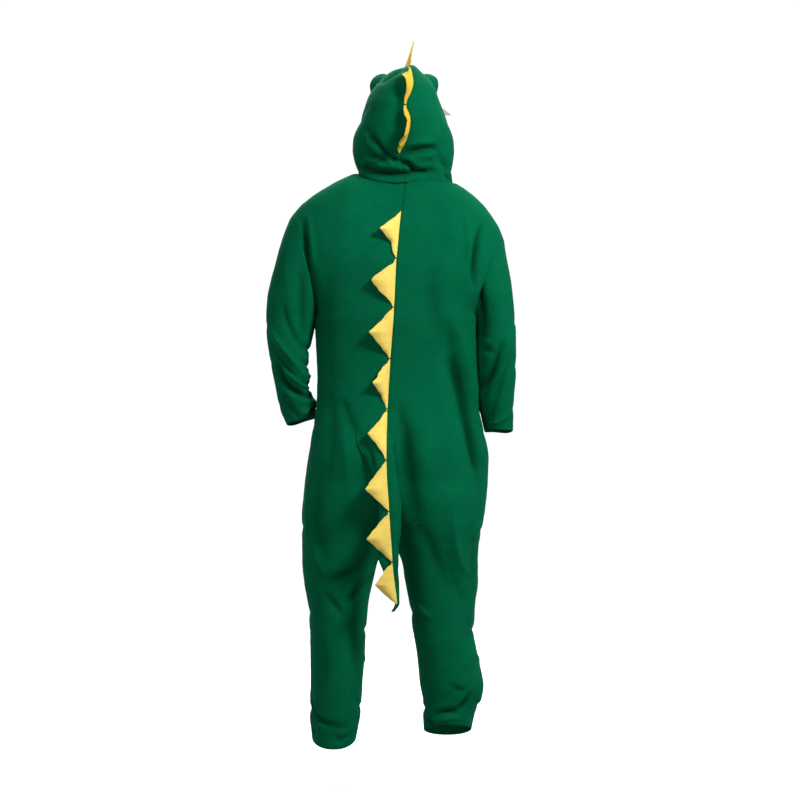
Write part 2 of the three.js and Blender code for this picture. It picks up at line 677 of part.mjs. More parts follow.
// The centre seam down the back and on along the tail.
const backSeam = [
  ...cloth.back_left.points.map((line) => line[0]).filter((point) => point[2] > TAIL_BASE_Z),
  ...tail.tail_left.points.map((line) => line[0]),
];
BACK_SPIKES.rows.forEach((spike, i) => {
  const endZ = i + 1 < BACK_SPIKES.rows.length ? BACK_SPIKES.rows[i + 1].topZ + SPIKE_SPACE : SPIKE_END_Z;
  const seam = stretch(backSeam, lengthAt(backSeam, spike.topZ), lengthAt(backSeam, endZ));
  const base = seam.map((point) => plus(point, [0, SEAT, 0]));
  const tipLength = lengthAt(backSeam, spike.tipZ);
  const tip = plus(stretch(backSeam, tipLength, tipLength + 1)[0], [spike.reach, spike.lift, 0]);
  addMesh(`back_spike_${i + 1}`, feltGeometry(base, tip, [0, FELT_WALL, 0], [0, SPIKE_BOW, 0]), YELLOW_FELT);
});

// The hood's centre seam from the forehead over the crown and down to the neck.
const hoodLines = cloth.hood_left.points;
const hoodSeam = [
  ...hoodLines.filter((line) => line[HOOD_COLUMNS][2] > FOREHEAD_Z).map((line) => line[HOOD_COLUMNS]),
  ...hoodLines[HOOD_ROWS].slice(0, HOOD_COLUMNS).reverse(),
  ...hoodLines.slice(0, HOOD_ROWS).map((line) => line[0]).reverse(),
];
HOOD_SPIKES.rows.forEach((spike, i) => {
  const seam = stretch(hoodSeam, spike.from, spike.to);
  const along = unit(minus(seam[seam.length - 1], seam[0]));
  const away = unit(cross([1, 0, 0], along));
  const side = [FELT_WALL, 0, 0];
  const base = seam.map((point) => plus(plus(point, away, SEAT), side, -1 / 2));
  const middle = stretch(hoodSeam, (spike.from + spike.to) / 2, (spike.from + spike.to) / 2 + 1)[0];
  const tip = plus(plus(middle, away, spike.reach), [spike.lean, 0, spike.droop]);
  addMesh(`hood_spike_${i + 1}`, feltGeometry(base, tip, side, [0, 0, 0]), YELLOW_FELT);
});

// ---- Eyes ----
// A pad on the hood: a ball's upper half raised to its height, and its lower half pressed on what carries it.
function padGeometry(side, centre, radius, height, carried) {
  const [row, column] = centre;
  const middle = hoodPoint(side, row, column);
  const perRow = minus(hoodPoint(side, row + 0.02, column), middle).map((value) => value / 0.02);
  const perColumn = minus(hoodPoint(side, row, column + 0.02), middle).map((value) => value / 0.02);
  const turned = unit(cross(perRow, perColumn));
  const away = turned.map((value) => value * -Math.sign(turned[1]));
  const ball = new THREE.SphereGeometry(1, PAD_SIDES, PAD_SIDES / 2);
  ball.deleteAttribute('normal');
  ball.deleteAttribute('uv');
  const merged = mergeVertices(ball, 1e-4);
  const place = merged.attributes.position;
  for (let i = 0; i < place.count; i += 1) {
    const [x, y, z] = [place.getX(i), place.getY(i), place.getZ(i)];
    const rowAt = row + (x * radius) / Math.hypot(...perRow);
    const columnAt = column + (y * radius) / Math.hypot(...perColumn);
    const raised = carried(rowAt, columnAt) + Math.max(0, z) * height;
    place.setXYZ(i, ...plus(hoodPoint(side, rowAt, columnAt), away, raised));
  }
  const scale = [Math.hypot(...perRow), Math.hypot(...perColumn)];
  const over = (rowAt, columnAt) => {
    const from = Math.hypot((rowAt - row) * scale[0], (columnAt - column) * scale[1]) / radius;
    return carried(rowAt, columnAt) + height * Math.sqrt(clamp(1 - from ** 2)) + DISC_SEAT;
  };
  return { geometry: outward(merged), over };
}

for (const side of ['left', 'right']) {
  const dome = padGeometry(side, [EYE.row, EYE.column], EYE.radius, EYE.height, () => EYE.seat);
  addMesh(`eye_${side}`, dome.geometry, FLEECE);
  const whiteCentre = [EYE.row, EYE.column + EYE_WHITE.forward];
  const white = padGeometry(side, whiteCentre, EYE_WHITE.radius, EYE_WHITE.height, dome.over);
  addMesh(`eye_white_${side}`, white.geometry, WHITE_FELT);
  const pupilCentre = [EYE.row, EYE.column + EYE_PUPIL.forward];
  const pupil = padGeometry(side, pupilCentre, EYE_PUPIL.radius, EYE_PUPIL.height, white.over);
  addMesh(`eye_pupil_${side}`, pupil.geometry, BLACK_FELT);
}

// ---- Teeth ----
for (const side of ['left', 'right']) {
  const outSign = side === 'left' ? 1 : -1;
  const edge = cloth[`hood_${side}`].points.map((line) => line[HOOD_COLUMNS]);
  const faceEdge = edge.filter((point) => point[2] < FOREHEAD_Z).reverse();
  TEETH.rows.forEach((tooth, i) => {
    const flipped = side === FLIPPED_TOOTH.side && i === FLIPPED_TOOTH.index;
    const way = flipped ? FLIPPED_TOOTH : tooth;
    const middle = lengthAt(faceEdge, tooth.z);
    const seam = stretch(faceEdge, middle - TOOTH_BASE / 2, middle + TOOTH_BASE / 2);
    const base = seam.map((point) => plus(point, [outSign * SEAT, -SEAT / 2, 0]));
    const tip = plus(stretch(faceEdge, middle, middle + 1)[0], [outSign * way.out, -way.forward, way.up]);
    const thick = flipped ? [0, -FELT_WALL, 0] : [outSign * FELT_WALL, 0, 0];
    addMesh(`tooth_${side}_${i + 1}`, feltGeometry(base, tip, thick, [0, 0, 0]), WHITE_FELT);
  });
}

// ---- Zip ----
// A strip along the centre front, between two depths below the skin.
const frontSeam = cloth.front_left.points.map((line, r) => ({
  point: line[0],
  normal: cloth.front_left.normals[r][0],
}));
function stripPoint(z) {
  const next = frontSeam.findIndex(({ point }) => point[2] <= z);
  const [from, to] = [frontSeam[next - 1], frontSeam[next]];
  const share = (z - from.point[2]) / (to.point[2] - from.point[2]);
  return {
    point: mixPoint(from.point, to.point, share),
    normal: unit(mixPoint(from.normal, to.normal, share)),
  };
}

function stripGeometry(topZ, bottomZ, half, nearDepth, farDepth) {
  const inside = frontSeam.filter(({ point }) => point[2] < topZ - 1 && point[2] > bottomZ + 1);
  const line = [stripPoint(topZ), ...inside, stripPoint(bottomZ)];
  const layer = (depth) => line.map(({ point, normal }) =>
    [-half, half].map((across) => plus(plus(point, normal, -depth), [across, 0, 0])),
  );
  return wallGeometry(layer(nearDepth), layer(farDepth), false);
}
const tapeDepth = FLEECE_WALL + SEAT;
const coilDepth = tapeDepth - SEAM_GAP - COIL.wall;
const tape = stripGeometry(ZIP_TOP_Z, ZIP_END_Z, TAPE.half, tapeDepth, tapeDepth + TAPE.wall);
addMesh('zip_tape', tape, ZIP_TAPE);
const coilEnd = Math.min(...frontSeam.map(({ point }) => point[2]).filter((z) => z > ZIP_END_Z)) + COIL.short;
const coil = stripGeometry(ZIP_TOP_Z - COIL.short, coilEnd, COIL.half, coilDepth, coilDepth + COIL.wall);
addMesh('zip_coil', coil, ZIP_TAPE);

// The slider's own frame: x across, y up along the zip and z out of the garment.
const wasm = await Module();
wasm.setup();
function solidOf(geometry) {
  const bare = geometry.clone();
  bare.deleteAttribute('normal');
  bare.deleteAttribute('uv');
  const merged = mergeVertices(bare, 1e-4);
  return new wasm.Manifold(new wasm.Mesh({
    numProp: 3,
    vertProperties: merged.attributes.position.array,
    triVerts: new Uint32Array(merged.index.array),
  }));
}
function geometryOf(solid) {
  const { vertProperties, triVerts } = solid.getMesh();
  const geometry = new THREE.BufferGeometry();
  geometry.setAttribute('position', new THREE.Float32BufferAttribute(vertProperties, 3));
  return geometry.setIndex(Array.from(triVerts));
}

const shapeOf = (corners) => new THREE.Shape(corners.map(([x, y]) => new THREE.Vector2(x, y)));
const plate = (shape, depth) => new THREE.ExtrudeGeometry(shape, { depth, bevelEnabled: false });

const end = SLIDER.length / 2;
const bodyShape = shapeOf([
  [-SLIDER.foot, -end], [SLIDER.foot, -end], [SLIDER.half, 0], [SLIDER.half, end - 2], [SLIDER.half - 2, end],
  [2 - SLIDER.half, end], [-SLIDER.half, end - 2], [-SLIDER.half, 0],
]);
const sliderBody = plate(bodyShape, SLIDER.wall).translate(0, 0, SLIDER.lip);
const arch = BRIDGE.length / 2;
const archInside = arch - BRIDGE.leg;
const bridgeShape = shapeOf([
  [-arch, -BRIDGE.sunk], [-archInside, -BRIDGE.sunk], [-archInside, BRIDGE.gap], [archInside, BRIDGE.gap],
  [archInside, -BRIDGE.sunk], [arch, -BRIDGE.sunk],
  [arch, BRIDGE.gap + BRIDGE.wall], [-arch, BRIDGE.gap + BRIDGE.wall],
]);
const bridge = plate(bridgeShape, 2 * BRIDGE.half).translate(0, 0, -BRIDGE.half);
// The bridge's outline is drawn along the zip and out of it, so its axes are turned into the slider's.
bridge.applyMatrix4(new THREE.Matrix4().makeBasis(
  new THREE.Vector3(0, 1, 0), new THREE.Vector3(0, 0, 1), new THREE.Vector3(1, 0, 0),
)).translate(0, 0, SLIDER.lip + SLIDER.wall);

const barTop = PULL.bar / 2;
const pullEnd = barTop - PULL.length;
const tabShape = shapeOf([
  [-PULL.half + 1, pullEnd], [PULL.half - 1, pullEnd], [PULL.half, pullEnd + 1], [PULL.half, barTop],
  [-PULL.half, barTop], [-PULL.half, pullEnd + 1],
]);
tabShape.holes.push(new THREE.Path([
  new THREE.Vector2(-PULL.hole, -barTop), new THREE.Vector2(-PULL.hole, -PULL.holeEnd),
  new THREE.Vector2(PULL.hole, -PULL.holeEnd), new THREE.Vector2(PULL.hole, -barTop),
]));
const tab = plate(tabShape, PULL.wall).translate(0, 0, -PULL.wall / 2);

const sliderSeat = stripPoint(SLIDER.z);
const up = unit(minus(stripPoint(SLIDER.z + 5).point, stripPoint(SLIDER.z - 5).point));
const outAxis = unit(cross([1, 0, 0], up));
const acrossAxis = unit(cross(up, outAxis));
const sliderFrame = new THREE.Matrix4()
  .makeBasis(...[acrossAxis, up, outAxis].map((axis) => new THREE.Vector3(...axis)))
  .setPosition(...sliderSeat.point);
const slider = geometryOf(solidOf(sliderBody).add(solidOf(bridge)));
addMesh('zip_slider', slider, ZIP_METAL).applyMatrix4(sliderFrame);
tab.translate(0, PULL.pivot, SLIDER.lip + SLIDER.wall + BRIDGE.gap / 2);
addMesh('zip_pull_tab', tab, ZIP_METAL).applyMatrix4(sliderFrame);

export default onesie;
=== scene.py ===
import math

import bpy
import numpy as np
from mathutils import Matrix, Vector, noise


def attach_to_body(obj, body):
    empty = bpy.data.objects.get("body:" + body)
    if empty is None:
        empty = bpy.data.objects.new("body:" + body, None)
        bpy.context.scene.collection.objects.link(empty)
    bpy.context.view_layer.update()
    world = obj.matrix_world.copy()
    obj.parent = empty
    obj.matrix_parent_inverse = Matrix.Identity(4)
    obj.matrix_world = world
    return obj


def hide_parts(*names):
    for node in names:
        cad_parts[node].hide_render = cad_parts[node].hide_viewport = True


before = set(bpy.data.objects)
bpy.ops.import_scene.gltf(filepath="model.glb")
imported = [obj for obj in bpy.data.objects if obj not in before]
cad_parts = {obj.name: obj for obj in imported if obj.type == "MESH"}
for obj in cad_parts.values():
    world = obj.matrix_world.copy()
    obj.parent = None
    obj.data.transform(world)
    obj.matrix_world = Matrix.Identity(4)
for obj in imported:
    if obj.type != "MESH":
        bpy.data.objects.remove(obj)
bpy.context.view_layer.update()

MM = 0.001

# ---- Sizes shared with the CAD solids ----
FLEECE_WALL = 2.0
UNDERARM_Z = -352
CROTCH_Z = -935
SEAT_Z = -770
FULL_TORSO = 2.35
FULL_LEG = 2.15
FULL_HOOD = 2.15
YOKE_SHARE = 0.6
NECK_SHARE = 5 / 11
HOOD_TOP_Z = 302
HOOD_BLEND = 0.18
ARMHOLE_BOW = 14
CUFF_TILT = 5
CUFF_WAVE = 1.5
ZIP_HALF = 3.5
ZIP_END_Z = -780
ZIP_TOP_Z = -62
TAIL_BASE_Z = -600
FOREHEAD_Z = 240
SEAT = 0.9
FELT_WALL = 3
HEM_DEPTH = 22
FOLD_DEPTH = 1.5
FOLD_ENDS = {"body": 0.15, "sleeve_left": 0.25, "sleeve_right": 0.25, "hood": 0.45, "tail": 0.1}
FOLD_WIDTH = 0.85
FOLD_REACH = 3  # widths from a fold's line within which it is worked out
FOLD_FACING = 0.45
FULL_CREASE_SHADE = 11  # the depth of a fold whose crease gets the darkest painted shade
SEAM_DIP = 0.9
SEAM_SPREAD = 3.0
HEM_SPREAD = 2.0
SEAM_SHADE = 0.14
TAIL_SEAM_SHARE = 0.5
# Unevenness: how deep, how wide, and its place in the noise.
SLOW_DRIFT = (1.6, 85.0, 3.1)
FINE_DRIFT = (0.5, 30.0, 7.7)
TAIL_DRIFT = (1.0, 40.0, 1.3)
EYE_DRIFT = (0.9, 22.0, 5.5)
FELT_DRIFT = (0.7, 14.0)
CLOTH_RIM = 0.8
FELT_RIM = 0.35
TAPE_RIM = 0.3
TAIL_END_WALL = 1.0
TAIL_ROOT = 0.24  # the share of the tail's rows that come up out of the back
TAIL_SUNK = -7.0
SPIKE_BOW = 8
SPIKE_SPACE = 3
SPIKE_END_Z = -1084
TOOTH_BASE = 30
EYE_SUNK = -2.0
TAPE_HALF = 14
TAPE_WALL = 1.0
ZIP_PITCH = 1.5
ZIP_TOOTH_ROOT = 2.7
ZIP_TOOTH_HIGH = 0.85
ZIP_TOOTH_LONG = 0.75
PAD_STEP = 0.02  # shares of the hood's rows and columns over which its slope is taken

# Cells of the visible cloth. Neighbours share their points, so these keep the seams' proportions.
PANEL_COLUMNS = 77
HOOD_COLUMNS = 70
YOKE_ROWS = 64
TRUNK_ROWS = 110
LEG_ROWS = 100
SLEEVE_ROWS = 110
HOOD_ROWS = 100
TAIL_ROWS = 110
TAIL_COLUMNS = 30


def number_rows(text, size=None):
    """The numbers on each line, in groups of the given size. A line that starts with # is a comment."""
    rows = [[float(word) for word in line.split()] for line in text.splitlines() if line and line[0] != "#"]
    return [np.array(row).reshape(-1, size) for row in rows] if size else rows


class Table:
    """Named columns by the value of the first one, on a curve that never overshoots its rows."""

    def __init__(self, names, text):
        self.names = names.split()
        rows = number_rows(text)
        grid = np.array(rows)
        self.rows = [dict(zip(self.names, row)) for row in rows]
        if grid[0, 0] > grid[-1, 0]:
            grid = grid[::-1]
        self.grid, self.keys = grid, grid[:, 0]
        if len(grid) > 2:
            slopes = np.diff(grid, axis=0) / np.maximum(np.diff(self.keys), 1e-9)[:, None]
            before = np.vstack([slopes[:1], slopes])
            after = np.vstack([slopes, slopes[-1:]])
            total = np.where(before + after == 0, 1, before + after)
            self.tangents = np.where(before * after <= 0, 0, 2 * before * after / total)

    def at(self, value):
        inside = np.clip(np.asarray(value, float), self.keys[0], self.keys[-1])
        first = np.clip(np.searchsorted(self.keys, inside, side="right") - 1, 0, len(self.keys) - 2)
        span = (self.keys[first + 1] - self.keys[first])[..., None]
        t = (inside - self.keys[first])[..., None] / span
        curve = (
            self.grid[first] * (1 + 2 * t) * (1 - t) ** 2
            + self.grid[first + 1] * t * t * (3 - 2 * t)
            + self.tangents[first] * span * t * (1 - t) ** 2
            + self.tangents[first + 1] * span * t * t * (t - 1)
        )
        return {name: curve[..., i] for i, name in enumerate(self.names)}


TORSO = Table("z left right backX frontX back side front", """
0 222 -198 -13 -10 50 0 -95
-70 222 -198 -3 -8 84 0 -108
-140 222 -198 5 -5 105 0 -120
-210 222 -198 10 -2 116 0 -128
-352 222 -198 17 4 116 0 -134
-430 218 -199.5 23 8 106 0 -138
-505 216 -202.5 28 10 102 0 -138
-580 218 -204 32 11 110 0 -136
-650 227 -219 34 12 130 2 -132
-725 240 -230 35 13 146 4 -126
-800 250 -227 33 14 146 5 -120
-870 255 -218 27 17 134 4 -112
-935 255 -206 21 21 118 2 -102
""")
LEG = {
    "left": Table("z outer inner back side front", """
-935 255 21 118 2 -102
-985 254 57 108 0 -98
-1040 249 70 98 -2 -92
-1110 239 84 92 -4 -88
-1200 234 90 88 -6 -84
-1290 233 96 84 -4 -80
-1370 235 100 76 -2 -76
-1448 228 114 66 0 -72
"""),
    "right": Table("z outer inner back side front", """
-935 -206 21 118 2 -102
-985 -203 -4 106 2 -98
-1040 -203 -14 98 0 -92
-1110 -195 -26 92 -2 -88
-1170 -193 -34 90 -4 -86
-1230 -203 -44 88 -6 -84
-1310 -218 -53 84 -4 -80
-1350 -212 -60 78 -2 -78
-1378 -197 -60 74 0 -76
-1424 -186 -62 70 0 -74
"""),
}
HEM = {
    "left": {"side": -1440, "back": -1466, "front": -1452},
    "right": {"side": -1422, "back": -1403, "front": -1448},
}
SLEEVE = {
    "left": Table("row outX outZ inX inZ y depth", """
0 285 -94 222 -352 0 74
1 305 -143 224 -364 0 73
2 327 -222 223.5 -386 0 70
3 346 -308 229 -412 2 65
4 348 -385 237 -455 4 60
5 340 -450 236 -500 0 56
6 328 -515 230 -545 -8 52
7 315 -585 224 -582 -20 49
8 296 -632 221 -612 -30 47
"""),
    "right": Table("row outX outZ inX inZ y depth", """
0 -270 -150 -198 -352 0 70
1 -278 -200 -203 -366 0 69
2 -290 -265 -204.2 -388 0 67
3 -298 -345 -204.7 -418 2 63
4 -302 -420 -205.2 -462 4 59
5 -302 -490 -205.5 -512 0 55
6 -298 -555 -208 -562 -8 51
7 -297 -608 -216 -610 -20 48
8 -296 -648 -222 -648 -28 46
"""),
}
NECK = {"back": [-13, 50, -3], "front": [-10, -95, -55], "left": [107, 0, 21], "right": [-139, 0, -3]}
SHOULDER_BEND = {"left": [234, -4, -25], "right": [-240, -4, -62]}
HOOD = Table("z left right seam back side front open", """
0 110 -139 -13 62 -12 -92 150
36 117 -142 -4 76 -16 -88 130
70 124 -142 0 86 -20 -86 121
109 122 -139 -14 96 -22 -88 118
161 104 -122 -22 103 -24 -98 121
200 92 -108 -20 101 -26 -108 131
222 84 -100 -26 95 -28 -114 148
240 74 -94 -29 87 -30 -117 180
262 57 -82 -29 70 -32 -112 180
280 38 -62 -27 48 -34 -104 180
293 18 -46 -22 22 -36 -92 180
302 -18 -18 -18 -14 -36 -58 180
""")
TAIL = Table("row left seam right backY backZ underY underZ", """
0 112 33 11 113 -590 146 -720
1 95 34 19 140 -632 153 -736
2 79 35 14 164 -687 158 -757
3 65 34 7 174 -752 157 -795
4 54 29 -3 176 -830 154 -842
5 54 25 -2 174 -896 152 -896
6 59 21 3.5 170 -950 151 -950
7 44 18 4 166 -998 151 -998
8 22 13 2 161 -1040 151 -1040
8.6 12 8 2 158 -1082 152 -1082
9 22 18 14 157 -1103 153 -1103
""")

BACK_SPIKES = Table("topZ tipZ reach lift", """
-84 -131 49 26
-207 -264 61 20
-332 -394 59 22
-463 -525 41 24
-592 -659 48 20
-721 -795 56 20
-850 -921 61 16
-979 -1046 49 10
""")
# The cut of each spike: shares along its base, and how far out it reaches there as a share of its reach.
BACK_SPIKE_CUTS = number_rows("""
0 0.02  0.14 0.32  0.38 1  0.68 0.3  0.82 0.26  1 0.04
0 0.04  0.08 0.1  0.12 0.2  0.25 0.56  0.38 0.89  0.45 1  0.66 0.66  0.88 0.17  1 0.05
0 0.05  0.03 0.08  0.08 0.22  0.27 0.53  0.48 1  0.76 0.46  0.95 0.1  1 0.05
0 0.04  0.05 0.13  0.08 0.16  0.18 0.46  0.28 0.65  0.38 0.76  0.47 1  0.7 0.46  1 0.03
0 0.02  0.24 0.46  0.36 0.74  0.49 1  0.6 0.76  0.78 0.39  0.92 0.12  1 0.03
0 0.02  0.28 0.5  0.56 1  0.8 0.46  1 0.02
0 0.02  0.07 0.08  0.11 0.22  0.53 1  0.78 0.47  1 0.02
0 0.02  0.06 0.1  0.09 0.25  0.53 1  0.78 0.55  1 0.03
""", 2)
HOOD_SPIKES = Table("from to droop", """
50 165 0
187 319 -14
322 452 -14
""")
# Shares along each base, with how far the felt leans to the wearer's left and how far it stands off.
HOOD_SPIKE_CUTS = number_rows("""
0 0 2  0.5 -19 73  1 0 2
0 2 2  0.1 4 4  0.2 8 8  0.32 27 17  0.48 20 38  0.65 13 30  0.8 8 14  0.92 6 6  1 5 2
0 5 3  0.15 9 16  0.25 6 26  0.38 9 38  0.5 10 46  0.61 16 36  0.7 18 28  0.78 13 22  0.88 11 12  1 1 2
""", 3)
HOOD_SPIKE_CURL = [2, 6, -4]
HOOD_SPIKE_TWIST = [12, 0, 0]
# How far the centre seam lies to the left of its plain line, by height.
HOOD_SWAY = number_rows("""
40 0  66 3  86 -5  149 -4  161 -2  180 6  195 4  214 0  250 -5  293 0
""", 2)[0]
EYE = {"row": 0.67, "column": 0.7, "radius": 34, "height": 37}
EYE_WHITE = {"radius": 17, "height": 1.5, "forward": 0.04}
EYE_PUPIL = {"radius": 9, "height": 1.5, "forward": 0.05}
TEETH = Table("z out forward up", """
205 4 32 -8
160 4 33 -6
115 4 33 -6
70 4 32 -4
""")
FLIPPED_TOOTH = {"out": 55, "forward": 4, "up": -20}  # turned out sideways

# Each piece laid flat: its width and length, and the share of that rectangle that its cut fills.
CUTS = {
    "back_left": (372, 1596, 0.69),
    "back_right": (370, 1528, 0.74),
    "front_left": (402, 1587, 0.64),
    "front_right": (387, 1560, 0.66),
    "sleeve_left": (656, 556, 0.44),
    "sleeve_right": (558, 504, 0.51),
    "hood_left": (334, 512, 0.53),
    "hood_right": (332, 508, 0.52),
    "tail_left": (200, 530, 0.32),
    "tail_right": (124, 516, 0.36),
}

# ---- Folds, placed one by one ----
# Each is a soft trough along a curve through three points, seen from its face: 1 back, -1 front, with x
# and z, or 2 the side to the wearer's left, -2 to the right, with y and z. A negative depth is a ridge.
FOLD_NAMES = "face a1 z1 a2 z2 a3 z3 width depth"
FOLDS = {
    "body": Table(FOLD_NAMES, """
# back, wearer's left: neck, armhole, side of the back, beside the tail
1 96 18 -13 -3 -120 -3 12 -5
1 247 -112 241 -180 236 -236 11 11
1 237 -96 229 -150 224 -222 10 -4
1 237 -229 226 -300 219 -390 16 9
1 190 -240 186 -420 176 -640 28 2.5
1 176 -560 178 -680 190 -800 26 3.5
1 150 -566 128 -618 102 -676 17 5
1 104 -664 92 -700 84 -745 12 4
1 96 16 50 0 10 -3 12 -3
1 150 -640 138 -700 130 -790 22 -4
# back, wearer's right: armhole, waist to hip
1 -210 -120 -192 -192 -190 -270 10 11
1 -172 -100 -176 -150 -184 -220 11 -4
1 -126 -372 -140 -455 -166 -545 24 6
1 -136 -470 -168 -580 -196 -730 24 14
1 -178 -640 -192 -710 -206 -800 14 5
1 -152 -390 -178 -480 -206 -600 17 -4
1 -80 -250 -90 -330 -104 -420 34 4
# seat, right of the tail
1 8 -590 -16 -650 -18 -710 20 7
1 -18 -670 -28 -760 -44 -890 34 11
# left leg
1 229 -748 238 -892 200 -1004 10 -4
1 206 -760 214 -880 186 -980 20 4
1 192 -1034 143 -1017 98 -990 14 6
1 176 -1000 140 -995 104 -975 14 -3
1 136 -1062 96 -1024 58 -994 9 -3
1 132 -1082 92 -1046 62 -1014 13 8
1 186 -1068 168 -1092 146 -1118 14 5
1 120 -1130 112 -1220 108 -1300 16 4
1 236 -1320 214 -1384 140 -1410 9 11
1 226 -1350 196 -1396 120 -1424 10 -4
1 238 -1400 229 -1420 221 -1436 9 7
1 165 -1434 150 -1441 128 -1424 7 6
1 200 -1180 196 -1250 204 -1310 18 3
# right leg
1 -138 -855 -146 -950 -172 -1012 12 -6
1 -60 -900 -86 -960 -120 -1040 26 6
1 -112 -925 -134 -1010 -160 -1090 20 3.5
1 -184 -900 -190 -990 -186 -1060 16 4
1 -31 -1078 -52 -1104 -80 -1126 8 -4
1 -211 -879 -198 -905 -180 -925 8 -4
1 -196 -1140 -192 -1160 -176 -1172 9 5
1 -190 -1185 -186 -1220 -176 -1256 9 -4
1 -130 -1300 -152 -1312 -166 -1306 10 5
1 -144 -1362 -162 -1352 -180 -1326 9 10
1 -90 -1378 -122 -1368 -156 -1374 8 9
1 -90 -1392 -124 -1386 -168 -1384 7 -4
1 -64 -1386 -84 -1406 -120 -1408 7 8
1 -186 -1386 -192 -1396 -190 -1408 6 6
# front: armholes, chest, waist, thighs, knees, ankles
-1 218 -150 198 -240 208 -350 14 11
-1 196 -140 180 -210 184 -300 14 -4
-1 -196 -160 -176 -245 -188 -350 14 11
-1 198 -352 150 -344 96 -384 18 3
-1 -178 -354 -136 -360 -92 -410 18 3
-1 205 -560 130 -620 60 -700 20 7
-1 -190 -580 -120 -650 -50 -690 18 6
-1 -192 -470 -120 -520 -60 -528 16 4
-1 204 -830 130 -880 44 -908 15 6
-1 196 -870 130 -905 56 -936 10 -3
-1 -180 -816 -100 -862 -10 -884 15 5
-1 -160 -900 -100 -925 -30 -940 10 -2
-1 218 -1080 160 -1112 108 -1100 14 7
-1 214 -1150 168 -1180 112 -1160 12 6
-1 -176 -1090 -120 -1130 -56 -1112 14 7
-1 -186 -1210 -130 -1190 -70 -1212 12 5
-1 218 -1330 170 -1384 118 -1404 10 10
-1 214 -1385 170 -1420 128 -1428 8 6
-1 -80 -1372 -130 -1384 -188 -1346 10 10
-1 -80 -1412 -126 -1424 -172 -1404 8 6
# sides
2 40 -600 0 -640 -50 -660 14 2.5
2 40 -346 0 -364 -40 -384 16 -3
-2 40 -346 0 -368 -40 -392 18 -3
-2 0 -370 0 -480 0 -600 36 -1.5
2 60 -860 0 -900 -60 -880 14 3
2 50 -1090 0 -1120 -50 -1100 14 3
2 40 -1340 0 -1368 -44 -1354 10 4
-2 40 -620 -10 -660 -60 -650 14 2.5
-2 56 -870 0 -910 -50 -900 14 3
-2 60 -1140 0 -1164 -50 -1150 12 4
-2 60 -1330 10 -1362 -50 -1350 10 4.5
-2 40 -1222 0 -1240 -40 -1236 12 -2
"""),
    "sleeve_left": Table(FOLD_NAMES, """
1 332 -420 306 -468 268 -510 8 6
1 335 -385 302 -434 240 -512 9 -6
1 300 -330 280 -390 240 -440 12 5
1 317 -478 286 -536 226 -560 11 13
1 286 -500 262 -522 230 -540 6 -5
1 262 -622 244 -596 216 -576 7 -5
1 240 -606 230 -590 214 -572 6 6
1 300 -560 284 -590 262 -612 14 4
1 300 -180 288 -280 276 -360 26 -3
1 258 -250 250 -330 250 -400 14 6
-2 40 -424 0 -438 -40 -430 7 4
-2 40 -468 0 -480 -40 -486 7 5
-2 40 -520 0 -528 -50 -520 7 6
-2 40 -500 0 -505 -50 -500 7 -4
-2 30 -538 0 -540 -50 -536 6 6
-2 30 -564 -10 -574 -50 -580 14 -8
-2 40 -350 0 -370 -40 -386 14 -1.5
-2 30 -596 -10 -602 -50 -604 10 -5
-1 330 -400 296 -460 240 -490 12 9
-1 322 -470 284 -520 232 -540 12 9
-1 300 -250 276 -300 240 -330 14 6
-1 300 -600 270 -606 232 -590 9 5
2 40 -350 0 -380 -40 -400 12 1.5
2 40 -450 0 -470 -50 -480 14 1.5
2 30 -560 -10 -580 -60 -576 14 1.5
"""),
    "sleeve_right": Table(FOLD_NAMES, """
1 -200 -240 -208 -320 -212 -400 12 11
1 -262 -430 -236 -492 -206 -542 14 11
1 -208 -425 -226 -440 -246 -446 10 3
1 -216 -410 -236 -420 -256 -400 10 -2
1 -298 -380 -258 -494 -206 -562 7 -8
1 -280 -470 -250 -560 -226 -624 15 5
1 -262 -180 -262 -280 -258 -360 24 -3
1 -290 -600 -260 -622 -230 -628 8 -3
2 0 -370 0 -480 -20 -620 40 -6.5
2 40 -470 0 -490 -50 -500 12 1.5
-1 -292 -410 -250 -470 -214 -500 12 9
-1 -290 -490 -250 -540 -212 -556 12 8
-1 -284 -270 -250 -320 -214 -340 14 6
-2 40 -340 0 -370 -40 -390 14 1.5
-2 40 -450 0 -480 -50 -490 14 2
-2 30 -570 -10 -590 -60 -586 14 1.5
"""),
    "hood": Table(FOLD_NAMES, """
# the S-shaped crease across the back, and the roll below it
1 70 110 42 72 12 47 7 11
1 14 48 -6 44 -24 39 7 10
1 -22 40 -30 31 -36 22 6 11
1 -34 22 -56 20 -82 25 7 10
1 -16 54 -44 40 -76 38 7 -5
1 87 114 78 84 55 58 9 -6
1 68 62 52 53 30 45 9 9
1 98 32 82 50 56 41 7 -6
1 58 40 30 37 0 34 8 -6
1 101 34 30 13 -34 18 8 12
1 84 2 20 0 -60 4 7 -3
# right of the lowest spike
1 -8 62 -42 73 -88 80 10 10
1 -22 88 -52 92 -84 96 10 -4
1 -24 54 -52 60 -84 62 8 -4
1 -46 44 -68 47 -92 54 7 5
# sides of the back, and the crown
1 84 130 78 92 74 58 15 5
1 96 16 50 0 10 -3 12 -3
1 96 18 -13 -3 -120 -3 12 -5
1 2 240 8 190 12 140 18 5
1 -118 14 -126 8 -132 2 6 6
1 -100 60 -118 40 -126 16 12 5
1 44 256 22 274 0 286 8 6
# hidden sides
2 40 60 10 36 -50 20 12 2
2 30 190 -10 160 -50 150 14 3
-2 50 50 10 32 -50 16 10 2
-2 30 180 -10 150 -50 140 14 2
"""),
    "tail": Table(FOLD_NAMES, """
1 100 -640 78 -700 60 -770 12 4
1 66 -700 50 -770 46 -860 9 -3
1 8 -700 4 -780 3 -860 5 3
1 4 -860 6 -940 3 -1000 4 2.5
1 40 -880 34 -940 26 -1000 9 4
1 14 -960 9 -1010 6 -1060 4 2.5
"""),
}


